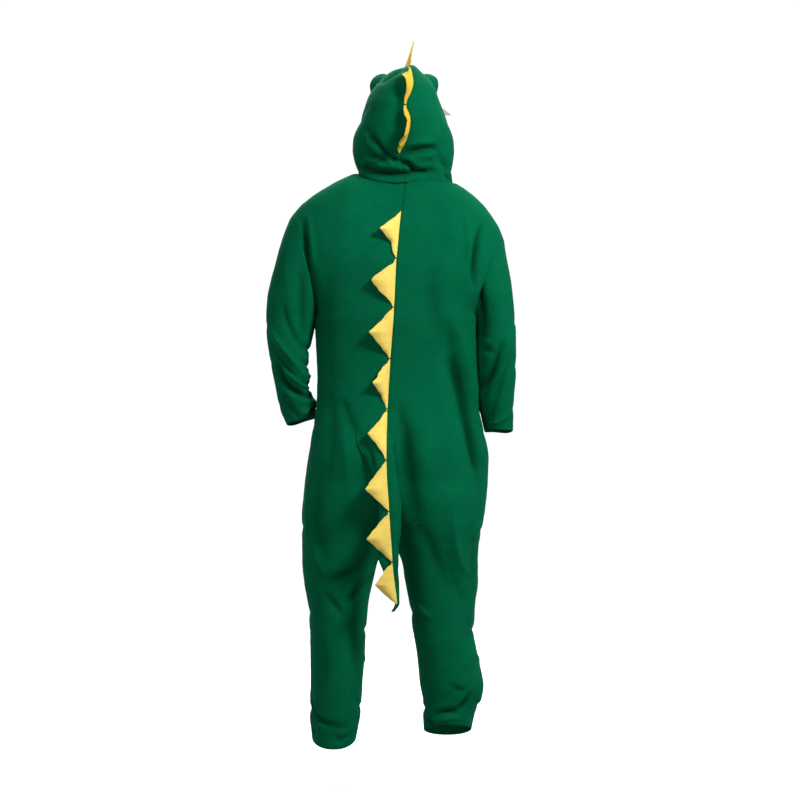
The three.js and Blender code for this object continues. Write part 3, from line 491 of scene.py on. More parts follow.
# ---- Small helpers ----
def mix(a, b, share):
    return a + (b - a) * share


def clamp(value):
    return np.clip(value, 0, 1)


def between(one, two, across):
    return (one + two) / 2 + (one - two) * across


def smooth(value):
    inside = clamp(value)
    return inside * inside * (3 - 2 * inside)


def power(value, exponent):
    return np.sign(value) * np.abs(value) ** exponent


def stack(x, y, z):
    return np.stack(np.broadcast_arrays(x, y, z), axis=-1).astype(float)


def unit(vectors):
    return vectors / np.maximum(np.linalg.norm(vectors, axis=-1, keepdims=True), 1e-12)


# ---- The skin: the same form as the CAD solids, by row and column of each piece ----
def sleeve_point(side, row, turn):
    section = SLEEVE[side].at(row * 8)
    across = np.cos(turn) / 2
    inward = -np.sign(section["outX"]) * ARMHOLE_BOW * np.abs(np.sin(turn)) * (1 - smooth(row * 3))
    cuff = (CUFF_TILT * np.sin(turn) + CUFF_WAVE * np.sin(3 * turn + 1)) * smooth((row - 0.85) / 0.15)
    return stack(
        between(section["outX"], section["inX"], across) + inward,
        section["y"] + section["depth"] * np.sin(turn),
        between(section["outZ"], section["inZ"], across) + cuff,
    )


def armhole(side, face, share):
    return sleeve_point(side, np.zeros_like(share), (1 if face == "back" else -1) * math.pi * share)


def neckline(side, face, share):
    turn = share * math.pi / 2
    centre, end = NECK[face], NECK[side]
    return stack(
        mix(centre[0], end[0], np.sin(turn)),
        mix(end[1], centre[1], np.cos(turn)),
        mix(end[2], centre[2], np.cos(turn)),
    )


def shoulder(side, share):
    share = share[..., None]
    neck, bend = np.array(NECK[side], float), np.array(SHOULDER_BEND[side], float)
    return mix(mix(neck, bend, share), mix(bend, armhole(side, "back", np.zeros(1))[0], share), share)


def top_edge(side, face, column):
    on_neck = neckline(side, face, clamp(column / NECK_SHARE))
    on_shoulder = shoulder(side, clamp((column - NECK_SHARE) / (1 - NECK_SHARE)))
    return np.where((column < NECK_SHARE)[..., None], on_neck, on_shoulder)


def yoke_point(side, face, row, column):
    height = mix(NECK[face][2], UNDERARM_Z, row)
    section = TORSO.at(height)
    depth = section[face] - section["side"]
    end = armhole(side, face, row)
    end_turn = np.arccos(clamp((end[..., 1] - section["side"]) / depth) ** (FULL_TORSO / 2))
    turn = column * end_turn
    level = stack(
        mix(section[face + "X"], end[..., 0], (np.sin(turn) / np.sin(end_turn)) ** (2 / FULL_TORSO)),
        section["side"] + depth * np.cos(turn) ** (2 / FULL_TORSO),
        mix(height, end[..., 2], column ** 1.5),
    )
    share = clamp(row / YOKE_SHARE)
    rounded = smooth(column * 2)
    out = mix(share, np.sin(share * math.pi / 2), rounded)
    down = mix(share, 1 - np.cos(share * math.pi / 2), rounded)
    weights = stack(out, out, down)
    to_armhole = end - mix(top_edge(side, face, np.ones_like(column)), end, weights)
    return mix(top_edge(side, face, column), level, weights) + to_armhole * (column ** 6)[..., None]


def trunk_point(side, face, row, column):
    height = mix(UNDERARM_Z, CROTCH_Z, 1 - (1 - row) ** 1.5)
    section = TORSO.at(height)
    in_turn = math.pi / 2 * clamp((SEAT_Z - height) / (SEAT_Z - CROTCH_Z)) ** 1.5
    full = mix(FULL_TORSO, FULL_LEG, np.sin(in_turn))
    half = (section[side] - section[face + "X"]) / (1 + np.sin(in_turn) ** (2 / full))
    turn = mix(-in_turn, math.pi / 2, column)
    return stack(
        section[side] - half + half * power(np.sin(turn), 2 / full),
        section["side"] + (section[face] - section["side"]) * clamp(np.cos(turn)) ** (2 / full),
        height,
    )


def leg_point(side, face, row, column):
    hem = HEM[side]
    height = mix(CROTCH_Z, hem["side"], row ** 1.3)
    section = LEG[side].at(height)
    turn = mix(-math.pi / 2, math.pi / 2, column)
    half = (section["outer"] - section["inner"]) / 2
    rounded = clamp(np.cos(turn)) ** (2 / FULL_LEG)
    return stack(
        section["inner"] + half + half * power(np.sin(turn), 2 / FULL_LEG),
        section["side"] + (section[face] - section["side"]) * rounded,
        height + (hem[face] - hem["side"]) * rounded * row ** 3,
    )


def body_points(side, face, rows, columns):
    parts = []
    for start, make in enumerate([yoke_point, trunk_point, leg_point]):
        end = start + 1 if start < 2 else 3.1
        own = rows[(rows >= start) & (rows < end)] - start
        parts.append(make(side, face, *grid_of(own, columns)))
    return np.concatenate(parts)


def hood_point(side, row, column):
    back = column < 0.5
    from_back = neckline(side, "back", clamp(column * 2))
    from_front = neckline(side, "front", clamp((1 - column) * 2))
    neck = np.where(back[..., None], from_back, from_front)
    section = HOOD.at(HOOD_TOP_Z * np.sin(row * math.pi / 2))
    turn = np.radians(section["open"] * column)
    centre_x = (section["left"] + section["right"]) / 2
    to_seam = (section["seam"] - centre_x) * clamp(np.cos(turn)) ** 2
    depth = np.where(turn < math.pi / 2, section["back"], section["front"]) - section["side"]
    level = stack(
        centre_x + (section[side] - centre_x) * clamp(np.sin(turn)) ** (2 / FULL_HOOD) + to_seam,
        section["side"] + depth * np.abs(np.cos(turn)) ** (2 / FULL_HOOD),
        section["z"],
    )
    return mix(neck, level, smooth(row / HOOD_BLEND)[..., None])


def sway_hood_seam(points):
    """The spikes pull the hood's centre seam to and fro, and stand its crown up into a low peak."""
    x, y, z = points[..., 0], points[..., 1], points[..., 2]
    seam = HOOD.at(z)["seam"]
    sway = np.interp(z, HOOD_SWAY[:, 0], HOOD_SWAY[:, 1]) * np.exp(-(((x - seam) / 20) ** 2)) * (y > -20)
    peak = 8 * np.exp(-(((x + 33) / 15) ** 2)) * smooth((z - 262) / 30) * smooth((y + 60) / 30)
    return points + stack(sway, 0 * sway, peak)


def back_y(x, z):
    section = TORSO.at(z)
    side = np.where(x > section["backX"], section["left"], section["right"])
    out = clamp((x - section["backX"]) / (side - section["backX"]))
    return mix(section["side"], section["back"], (1 - out ** FULL_TORSO) ** (1 / FULL_TORSO))


def tail_point(row, turn):
    section = TAIL.at(row * 9)
    across = np.cos(turn) / 2
    x = mix(section["right"], section["left"], 0.5 + np.sin(turn) / 2)
    z = between(section["backZ"], section["underZ"], across)
    hanging = between(section["backY"], section["underY"], across)
    return stack(x, np.where(row == 0, back_y(x, z) + SEAT, hanging), z)


def tail_seam_turn(row):
    section = TAIL.at(row * 9)
    return np.arcsin((section["seam"] - section["right"]) / (section["left"] - section["right"]) * 2 - 1)


# ---- Sheets of cloth ----
class Sheet:
    """A grid of points on the skin, with its sewn edges. wrap joins its last column to its first."""

    def __init__(self, points, wrap=False, face_y=1, probe=(0.5, 0.3), seams=(), hems=(), folds="body"):
        self.points, self.wrap, self.face_y, self.probe = points, wrap, face_y, probe
        self.seams, self.hems, self.folds = seams, hems, folds
        self.own_normals = self.normals = self.crease = None

    def compute_normals(self):
        p = self.points
        wrapped = np.concatenate([p, p[:, :1]], axis=1) if self.wrap else p
        one = wrapped[1:, 1:] - wrapped[:-1, :-1]
        two = wrapped[1:, :-1] - wrapped[:-1, 1:]
        cells = np.cross(one, two)
        sums = np.zeros_like(p)
        count = p.shape[1]
        for down in (0, 1):
            for over in (0, 1):
                columns = (np.arange(cells.shape[1]) + over) % count
                np.add.at(sums, (slice(down, down + cells.shape[0]), columns), cells)
        row = round(self.probe[0] * (p.shape[0] - 1))
        column = round(self.probe[1] * (count - 1))
        self.own_normals = sums * np.sign(sums[row, column, 1]) * self.face_y

    def edge_distances(self):
        """Millimetres of cloth from each point to the grid's four edges."""
        down = np.linalg.norm(np.diff(self.points, axis=0), axis=-1)
        over = np.linalg.norm(np.diff(self.points, axis=1), axis=-1)
        down = np.vstack([np.zeros((1, down.shape[1])), np.cumsum(down, axis=0)])
        over = np.hstack([np.zeros((over.shape[0], 1)), np.cumsum(over, axis=1)])
        return {"top": down, "bottom": down[-1:] - down, "start": over, "end": over[:, -1:] - over}


def listed(sheets, name):
    """The sheets' points or normals as one list."""
    return np.concatenate([getattr(sheet, name).reshape(-1, 3) for sheet in sheets])


def shared_points(sheets):
    """For every point of the sheets the number of its place, which sewn neighbours have in common."""
    places = np.round(listed(sheets, "points") * 50).astype(np.int64)
    _, where = np.unique(places, axis=0, return_inverse=True)
    return where.reshape(-1)


def mean_over(where, values):
    """Every value's mean over the points that share its place."""
    sums = np.zeros((where.max() + 1, values.shape[1]))
    np.add.at(sums, where, values)
    return sums[where] / np.bincount(where)[where][:, None]


def share_normals(sheets, where=None):
    """Points that two sheets share get one normal, so that the cloth meets squarely at every seam."""
    for sheet in sheets:
        sheet.compute_normals()
    where = shared_points(sheets) if where is None else where
    hand_back(sheets, "normals", unit(mean_over(where, listed(sheets, "own_normals"))))
    return where


def hand_back(sheets, name, values):
    start = 0
    for sheet in sheets:
        size = sheet.points.shape[0] * sheet.points.shape[1]
        setattr(sheet, name, values[start:start + size].reshape(sheet.points.shape[:2] + values.shape[1:]))
        start += size


def fold_depth(sheet):
    """How far the folds move each point in, troughs being positive, and the painted shade of the crease it
    lies in.
    """
    depth = np.zeros(sheet.points.shape[:2])
    crease = np.zeros_like(depth)
    share = np.linspace(0, 1, 25)
    for fold in FOLDS[sheet.folds].rows:
        axis, facing_axis = (0, 1) if abs(fold["face"]) == 1 else (1, 0)
        facing = smooth(sheet.normals[..., facing_axis] * np.sign(fold["face"]) / FOLD_FACING)
        a, z = (
            fold[name + "1"] * (1 - share) * (1 - 2 * share)
            + fold[name + "2"] * 4 * share * (1 - share)
            + fold[name + "3"] * share * (2 * share - 1)
            for name in ("a", "z")
        )
        reach = FOLD_REACH * fold["width"]
        near = facing > 0
        near &= (sheet.points[..., axis] > a.min() - reach) & (sheet.points[..., axis] < a.max() + reach)
        near &= (sheet.points[..., 2] > z.min() - reach) & (sheet.points[..., 2] < z.max() + reach)
        if not near.any():
            continue
        own = sheet.points[near]
        gaps = np.hypot(own[:, axis, None] - a, own[:, 2, None] - z)
        nearest = gaps.argmin(axis=1)
        along = share[nearest]
        ends = FOLD_ENDS[sheet.folds]
        taper = ends + (1 - ends) * np.sin(math.pi * clamp(0.05 + 0.9 * along)) ** 0.8
        gap = gaps.min(axis=1) / (FOLD_WIDTH * fold["width"])
        profile = 0.65 * np.exp(-(gap ** 2)) + 0.35 * np.exp(-2.2 * gap)
        depth[near] += FOLD_DEPTH * fold["depth"] * taper * facing[near] * profile
        # Painted shade: a trough's crease is painted darker the deeper the fold is.
        if fold["depth"] > 0:
            crease[near] += fold["depth"] / FULL_CREASE_SHADE * taper * facing[near] * np.exp(-((1.3 * gap) ** 2))
    return depth, np.minimum(crease, 1)


def drift(points, depth, size, seed):
    """The slow unevenness of hanging cloth, up to a depth either way, in swells of about the given size."""
    flat = points.reshape(-1, 3) / size + seed
    return depth * np.array([noise.noise(Vector(p)) for p in flat]).reshape(points.shape[:2])


def seam_relief(sheet):
    """How far sewn edges and hems draw the cloth in, with small puckers, and the painted shade along their
    line.
    """
    distances = sheet.edge_distances()
    valley = np.zeros(sheet.points.shape[:2])
    pucker = np.zeros_like(valley)
    for edge in sheet.seams + sheet.hems:
        gap = distances[edge]
        along = distances["start" if edge in ("top", "bottom") else "top"]
        if edge in sheet.seams:
            valley = np.maximum(valley, SEAM_DIP * np.exp(-((gap / SEAM_SPREAD) ** 2)))
            wave = np.sin(along / 7.3) * np.sin(along / 23.0 + 1.0)
            pucker += 0.7 * wave * (1 - np.exp(-((gap / 4) ** 2))) * np.exp(-gap / 11)
        else:
            gap = gap - HEM_DEPTH
            stitched = SEAM_DIP * np.exp(-((gap / HEM_SPREAD) ** 2)) - 0.5 * np.exp(-((gap / 7.0) ** 2))
            valley = np.maximum(valley, stitched)
            pucker += 0.5 * np.sin(along / 5.1) * np.sin(along / 17.0) * np.exp(-np.abs(gap) / 9)
    # The second value is painted shade along each seam's valley, darker where the cloth is drawn in deeper.
    return valley + pucker, clamp(valley) ** 2 * SEAM_SHADE


# ---- The cloth pieces ----
def shares(cells):
    return np.linspace(0, 1, cells + 1)


def grid_of(rows, columns):
    return np.meshgrid(rows, columns, indexing="ij")


body_rows = np.concatenate([
    shares(YOKE_ROWS),
    np.linspace(1, 2, TRUNK_ROWS + 1)[1:],
    np.linspace(2, 3, LEG_ROWS + 1)[1:],
])
cloth = {}
for side in ("left", "right"):
    for face in ("back", "front"):
        points = body_points(side, face, body_rows, shares(PANEL_COLUMNS))
        seams, face_y = (("top", "start", "end"), 1) if face == "back" else (("top", "end"), -1)
        cloth[f"{face}_{side}"] = Sheet(points, face_y=face_y, seams=seams, hems=("bottom",))
    row, turn = grid_of(shares(SLEEVE_ROWS), np.arange(2 * YOKE_ROWS) / YOKE_ROWS * math.pi)
    cloth[f"sleeve_{side}"] = Sheet(
        sleeve_point(side, row, turn),
        wrap=True, probe=(0.5, 0.25), seams=("top",), hems=("bottom",), folds=f"sleeve_{side}",
    )
    row, column = grid_of(shares(HOOD_ROWS), shares(HOOD_COLUMNS))
    cloth[f"hood_{side}"] = Sheet(
        sway_hood_seam(hood_point(side, row, column)),
        probe=(0.5, 0), seams=("top", "start"), hems=("end",), folds="hood",
    )


def settle(sheets):
    """Folds, unevenness and seams move the skin in along its shared normals."""
    where = share_normals(sheets)
    for sheet in sheets:
        depth, sheet.crease = fold_depth(sheet)
        depth += drift(sheet.points, *SLOW_DRIFT) + drift(sheet.points, *FINE_DRIFT)
        relief, line = seam_relief(sheet)
        # A point's painted shade is the darker of its fold crease and its seam line.
        sheet.crease = np.maximum(sheet.crease, line)
        sheet.points = sheet.points - sheet.normals * (depth + relief)[..., None]
    hand_back(sheets, "points", mean_over(where, listed(sheets, "points")))
    share_normals(sheets, where)


settle(list(cloth.values()))

tail_rows, tail_columns = grid_of(shares(TAIL_ROWS), shares(TAIL_COLUMNS))
seam_turn = tail_seam_turn(tail_rows)
tail = {
    f"tail_{side}": Sheet(
        tail_point(tail_rows, mix(seam_turn, way * math.pi - seam_turn, tail_columns)),
        probe=(0.5, 0.1), seams=("start", "end"), folds="tail",
    )
    for side, way in (("left", 1), ("right", -1))
}


def settled_back_y(points):
    """The depth of the folded back under points of the tail, from its nearest point and the normal there."""
    backs = [cloth["back_left"], cloth["back_right"]]
    skin, normals = listed(backs, "points"), listed(backs, "normals")
    low, high = points.min(axis=0) - 15, points.max(axis=0) + 15
    near = ((skin > low) & (skin < high))[:, [0, 2]].all(axis=1)
    skin, normals = skin[near], normals[near]
    gaps = (points[:, None, 0] - skin[None, :, 0]) ** 2 + (points[:, None, 2] - skin[None, :, 2]) ** 2
    nearest = gaps.argmin(axis=1)
    to_point = points - skin[nearest]
    slope = (normals[nearest] * to_point)[:, [0, 2]].sum(axis=1) / np.maximum(normals[nearest, 1], 0.2)
    return skin[nearest, 1] - slope


# The tail comes up out of the back between its first row and the last row of its root.
root_rows = round((TAIL_ROOT + 0.02) * TAIL_ROWS)
for sheet in tail.values():
    part = sheet.points[:root_rows]
    skin_y = settled_back_y(part.reshape(-1, 3)).reshape(part.shape[:2])
    root = smooth(tail_rows[:root_rows] / TAIL_ROOT)
    rise = part[..., 1] - skin_y
    upper = 1 - smooth((tail_columns[:root_rows] - 0.3) / 0.4)
    part[..., 1] = skin_y + mix(rise, np.minimum(rise, mix(TAIL_SUNK, rise, root)), upper)
share_normals(list(tail.values()))
for sheet in tail.values():
    loose = smooth(tail_rows * 9)
    depth, sheet.crease = fold_depth(sheet)
    relief, line = seam_relief(sheet)
    # Painted shade of the tail's creases and seams, fading out at its root.
    sheet.crease = np.maximum(sheet.crease, line) * loose
    depth += drift(sheet.points, *TAIL_DRIFT) + TAIL_SEAM_SHARE * relief
    sheet.points = sheet.points - sheet.normals * (depth * loose)[..., None]
share_normals(list(tail.values()))


# ---- Meshes ----
def set_all(thing, **values):
    for name, value in values.items():
        setattr(thing, name, value)


def add_object(name, data):
    thing = bpy.data.objects.new(name, data)
    bpy.context.scene.collection.objects.link(thing)
    return thing


def attach(piece, material, node, body="garment"):
    """Gives a piece its material and the body that it moves with, and hides the CAD node that it replaces."""
    piece.data.materials.append(material)
    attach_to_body(piece, body)
    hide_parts(node)


def make_piece(name, points, faces, material, node):
    mesh = bpy.data.meshes.new(name)
    mesh.from_pydata((np.asarray(points) * MM).tolist(), [], [tuple(face) for face in faces])
    mesh.validate()
    mesh.shade_smooth()
    piece = add_object(name, mesh)
    attach(piece, material, node)
    return piece


def grid_cells(shape, wrap):
    """The numbers of a grid's points, and the four corners of each of its cells."""
    index = np.arange(shape[0] * shape[1]).reshape(shape[:2])
    right = np.roll(index, -1, axis=1) if wrap else index[:, 1:]
    left = index if wrap else index[:, :-1]
    return index, np.stack([left[:-1], left[1:], right[1:], right[:-1]], axis=-1).reshape(-1, 4)


def wall_mesh(outer, inner, wrap=False, rim=CLOTH_RIM):
    """A closed wall between two grids, with a rounded rim round every free edge."""
    index, quads = grid_cells(outer.shape, wrap)
    size = index.size
    faces = [quads, quads[:, ::-1] + size]
    flat_outer, flat_inner = outer.reshape(-1, 3), inner.reshape(-1, 3)
    points = [flat_outer, flat_inner]
    if wrap:
        loops = [(index[0], index[1]), (index[-1][::-1], index[-2][::-1])]
    else:
        ring = np.concatenate([index[0], index[1:, -1], index[-1, -2::-1], index[-2:0:-1, 0]])
        inside = np.concatenate([index[1], index[1:, -2], index[-2, -2::-1], index[-2:0:-1, 1]])
        loops = [(ring, inside)]
    start = 2 * size
    for ring, inside in loops:
        middle = (flat_outer[ring] + flat_inner[ring]) / 2
        points.append(middle + unit(flat_outer[ring] - flat_outer[inside]) * rim)
        own = start + np.arange(len(ring))
        ring_next, own_next = np.roll(ring, -1), np.roll(own, -1)
        faces.append(np.stack([ring, ring_next, own_next, own], axis=-1))
        faces.append(np.stack([own, own_next, ring_next + size, ring + size], axis=-1))
        start += len(ring)
    return np.concatenate(points), np.concatenate(faces)


def facing_out(points, faces):
    """Turns a closed mesh's faces the other way round if they point in."""
    corners = points[faces]
    volume = np.einsum("ij,ij->", corners[:, 0], np.cross(corners[:, 1], corners[:, 2]))
    volume += np.einsum("ij,ij->", corners[:, 0], np.cross(corners[:, 2], corners[:, -1]))
    return faces[:, ::-1] if volume < 0 else faces


# ---- Materials ----
WHITE = (1.0, 1.0, 1.0)


def node_material(name):
    material = bpy.data.materials.new(name)
    material.use_nodes = True
    tree = material.node_tree
    shader = next(node for node in tree.nodes if node.type == "BSDF_PRINCIPLED")
    place = tree.nodes.new("ShaderNodeTexCoord").outputs["Object"]
    return material, tree, shader, place


def set_values(node, **values):
    """Constant values on a node's inputs, which are named with _ for each space."""
    for name, value in values.items():
        node.inputs[name.replace("_", " ")].default_value = value


def add_noise(tree, place, scale, detail=3.0, rough=0.6):
    texture = tree.nodes.new("ShaderNodeTexNoise")
    set_values(texture, Scale=scale, Detail=detail, Roughness=rough)
    tree.links.new(place, texture.inputs["Vector"])
    return texture.outputs["Fac"]


def add_ramp(tree, value, *stops):
    """Colours by a value. Each stop is a place and a colour, or one number for a grey."""
    ramp = tree.nodes.new("ShaderNodeValToRGB")
    elements = ramp.color_ramp.elements
    while len(elements) < len(stops):
        elements.new(0.5)
    for element, (position, colour) in zip(elements, stops):
        element.position = position
        element.color = (*np.broadcast_to(colour, 3), 1)
    tree.links.new(value, ramp.inputs["Fac"])
    return ramp.outputs["Color"]


def add_mix(tree, kind, share, one, two):
    """Two colours mixed. The share and the colours are constants or the outputs of other nodes."""
    node = tree.nodes.new("ShaderNodeMix")
    set_all(node, data_type="RGBA", blend_type=kind)
    for socket, value in ((0, share), (6, one), (7, two)):
        if isinstance(value, bpy.types.NodeSocket):
            tree.links.new(value, node.inputs[socket])
        else:
            node.inputs[socket].default_value = value
    return node.outputs[2]


def paint(tree, shader, colour, *layers):
    """Gives the shader its colour, darkened by each further layer."""
    for layer in layers:
        colour = add_mix(tree, "MULTIPLY", 1.0, colour, layer)
    tree.links.new(colour, shader.inputs["Base Color"])


def is_seen(tree):
    return tree.nodes.new("ShaderNodeLightPath").outputs["Is Camera Ray"]


def add_bump(tree, shader, height, strength, distance):
    bump = tree.nodes.new("ShaderNodeBump")
    set_values(bump, Strength=strength, Distance=distance)
    tree.links.new(height, bump.inputs["Height"])
    tree.links.new(bump.outputs["Normal"], shader.inputs["Normal"])


def shades(colour, *strengths):
    return [tuple(min(1.0, value * strength) for value in colour) for strength in strengths]


def fleece_material(name, colour, tint, sheen):
    """Polar fleece: short matted nap in soft clumps, matt, with a faint sheen along its edges, and painted
    shade in its creases and along its seams.
    """
    material, tree, shader, place = node_material(name)
    clumps = add_noise(tree, place, 420, 4, 0.7)
    dark, light = shades(colour, 0.78, 1.2)
    nap = add_ramp(tree, clumps, (0.3, dark), (0.52, colour), (0.75, light))
    drifted = add_ramp(tree, add_noise(tree, place, 22, 3, 0.55), (0.3, (0.86, 0.86, 0.88)), (0.7, WHITE))
    # Painted shade: a point attribute darkens the nap in fold troughs and along seams.
    crease = tree.nodes.new("ShaderNodeAttribute")
    crease.attribute_name = "crease"
    shaded = add_ramp(tree, crease.outputs["Fac"], (0.0, WHITE), (1.0, (0.3, 0.36, 0.34)))
    paint(tree, shader, nap, drifted, shaded)
    set_values(shader, Roughness=0.95, Specular_IOR_Level=0.06, Specular_Tint=(*tint, 1))
    set_values(shader, Sheen_Weight=sheen, Sheen_Roughness=0.45, Sheen_Tint=(*tint, 1))
    add_bump(tree, shader, clumps, 0.5, 0.0008)
    return material


def felt_material(name, colour, spread=0.12, bump=0.35):
    """Pressed felt: short fibres in every direction."""
    material, tree, shader, place = node_material(name)
    fibres = add_noise(tree, place, 900, 6, 0.75)
    dark, light = shades(colour, 1 - spread, 1 + spread)
    fine = add_ramp(tree, fibres, (0.32, dark), (0.7, light))
    drifted = add_ramp(tree, add_noise(tree, place, 60, 3, 0.6), (0.35, (0.93, 0.91, 0.88)), (0.65, WHITE))
    paint(tree, shader, fine, drifted)
    set_values(shader, Roughness=0.9, Specular_IOR_Level=0.1, Sheen_Weight=0.1, Sheen_Tint=(*light, 1))
    add_bump(tree, shader, fibres, bump, 0.0005)
    return material


fleece = fleece_material("green_fleece", (0.0008, 0.092, 0.038), (0.01, 0.6, 0.35), 0.1)
yellow = felt_material("yellow_felt", (0.71, 0.54, 0.115))
# A darker, warmer copy of the yellow felt for the hood's spikes: painted shade for spikes that lie in their
# own shadow.
yellow_felt_shaded = felt_material("yellow_felt_hood_shaded", (0.54, 0.36, 0.035), 0.12, 0.12)
white = felt_material("white_felt", (0.45, 0.44, 0.44), 0.06)
black = felt_material("black_felt", (0.006, 0.006, 0.006))
coil_green = felt_material("zip_coil", (0.002, 0.10, 0.045))
tape_green = felt_material("zip_tape", (0.001, 0.06, 0.028))

metal, tree, shader, place = node_material("zip_metal")
wear = add_noise(tree, place, 700, 4, 0.6)
paint(tree, shader, add_ramp(tree, wear, (0.35, (0.44, 0.44, 0.424)), (0.65, (0.55, 0.55, 0.53))))
set_values(shader, Metallic=1.0, Roughness=0.32)
add_bump(tree, shader, wear, 0.15, 0.0002)

# ---- The cloth's walls ----
for name, sheet in {**cloth, **tail}.items():
    wall = FLEECE_WALL
    outer = sheet.points.copy()
    if name.startswith("front"):
        slit = outer[:, 0, 2] > ZIP_END_Z
        way = 1 if name.endswith("left") else -1
        outer[slit, 0, 0] += way * ZIP_HALF
        edge_x, next_x = outer[slit, 0, 0], outer[slit, 1, 0]
        outer[slit, 1, 0] = np.where(way * (next_x - edge_x) < 1, edge_x + way, next_x)
    if name in tail:
        wall = mix(FLEECE_WALL, TAIL_END_WALL, smooth((tail_rows - 0.8) * 5))[..., None]
    inner = outer - sheet.normals * wall
    points, faces = wall_mesh(outer, inner, sheet.wrap)
    piece = make_piece(name + "_cloth", points, facing_out(points, faces), fleece, name)
    # The painted crease shade is stored on the outer skin's points.
    crease = np.zeros(len(points), np.float32)
    crease[:sheet.crease.size] = sheet.crease.reshape(-1)
    piece.data.attributes.new("crease", "FLOAT", "POINT").data.foreach_set("value", crease)
    width, length, share = CUTS[name]


# ---- Felt pieces ----
X_AXIS, Y_AXIS, Z_AXIS = np.eye(3)
FELT_ROWS = np.linspace(0, 1, 17)[:, None, None]
SPIKE_ALONG = np.linspace(0, 1, 61)
TOOTH_ALONG = np.linspace(0, 1, 25)


class Line:
    """A line of points that is followed by length."""

    def __init__(self, points):
        self.points = np.asarray(points, float)
        steps = np.linalg.norm(np.diff(self.points, axis=0), axis=-1)
        self.lengths = np.concatenate([[0], np.cumsum(steps)])

    def at(self, lengths):
        return np.stack([np.interp(lengths, self.lengths, values) for values in self.points.T], axis=-1)

    def length_at(self, z):
        """Length down the line to a height; the line only falls."""
        return float(np.interp(-z, -self.points[:, 2], self.lengths))


def felt_piece(node, grid, wall_along, material, seed):
    """A cut piece of felt on a grid of points, with the thickness that felt has and a slightly soft edge."""
    sheet = Sheet(grid)
    sheet.compute_normals()
    normals = unit(sheet.own_normals)
    normals *= np.sign((normals * wall_along).sum(-1, keepdims=True).mean())
    loose = np.linspace(0, 1, grid.shape[0])[:, None]
    uneven = drift(grid, *FELT_DRIFT, seed) * loose
    outer = grid + normals * (FELT_WALL / 2 + uneven)[..., None]
    inner = grid - normals * (FELT_WALL / 2 - uneven)[..., None]
    points, faces = wall_mesh(outer, inner, rim=FELT_RIM)
    piece = make_piece(node + "_felt", points, facing_out(points, faces), material, node)


back_seam = Line([
    *[point for point in cloth["back_left"].points[:, 0] if point[2] > TAIL_BASE_Z],
    *tail["tail_left"].points[:, 0],
])
spike_ends = [spike["topZ"] + SPIKE_SPACE for spike in BACK_SPIKES.rows[1:]] + [SPIKE_END_Z]
for i, spike in enumerate(BACK_SPIKES.rows):
    top, low = back_seam.length_at(spike["topZ"]), back_seam.length_at(spike_ends[i])
    base = back_seam.at(mix(top, low, SPIKE_ALONG))
    over_root = (base[:, 2] < TAIL_BASE_Z) & (base[:, 2] > SEAT_Z)
    if over_root.any():
        base[over_root, 1] = np.maximum(base[over_root, 1], settled_back_y(base[over_root]))
    base[:, 1] += SEAT
    width = np.interp(SPIKE_ALONG, *BACK_SPIKE_CUTS[i].T)
    width = np.maximum(width + 0.012 * np.sin(SPIKE_ALONG * 37 + i) * (SPIKE_ALONG > 0.05), 0.03)[:, None]
    lean = X_AXIS * spike["reach"] * width
    stand = Y_AXIS * spike["lift"] * width ** 1.3
    bow = Y_AXIS * SPIKE_BOW * width * np.sin(math.pi * FELT_ROWS)
    ripple = Y_AXIS * 3.0 * np.sin(SPIKE_ALONG[:, None] * 7 + i * 1.7) * FELT_ROWS ** 2
    grid = base + FELT_ROWS * lean + FELT_ROWS * stand + (bow + ripple) * np.minimum(1, width * 3)
    felt_piece(f"back_spike_{i + 1}", grid, Y_AXIS, yellow, i + 0.5)

hood_lines = cloth["hood_left"].points
hood_seam = Line([
    *[line[-1] for line in hood_lines if line[-1, 2] > FOREHEAD_Z],
    *hood_lines[-1, :-1][::-1],
    *[line[0] for line in hood_lines[:-1]][::-1],
])
for i, spike in enumerate(HOOD_SPIKES.rows):
    base = hood_seam.at(mix(spike["from"], spike["to"], SPIKE_ALONG))
    away = unit(np.cross(X_AXIS, unit(base[-1] - base[0])))
    along, leans, stands = HOOD_SPIKE_CUTS[i].T
    lean = np.interp(SPIKE_ALONG, along, leans)[:, None]
    stand = np.interp(SPIKE_ALONG, along, stands)[:, None]
    tall = stand / stand.max()
    reach = lean * X_AXIS + stand * away + Z_AXIS * spike["droop"] * tall
    curl = np.sin(math.pi * FELT_ROWS) * X_AXIS * HOOD_SPIKE_CURL[i] * tall
    twist = HOOD_SPIKE_TWIST[i] * (0.5 - SPIKE_ALONG)[:, None] * smooth(FELT_ROWS * 8)
    grid = base + away * (SEAT - 1.5) + FELT_ROWS * reach + curl + X_AXIS * twist
    # The hood's spikes take the darker copy of the felt, with painted shade in its colour.
    felt_piece(f"hood_spike_{i + 1}", grid, X_AXIS, yellow_felt_shaded, i + 9.5)


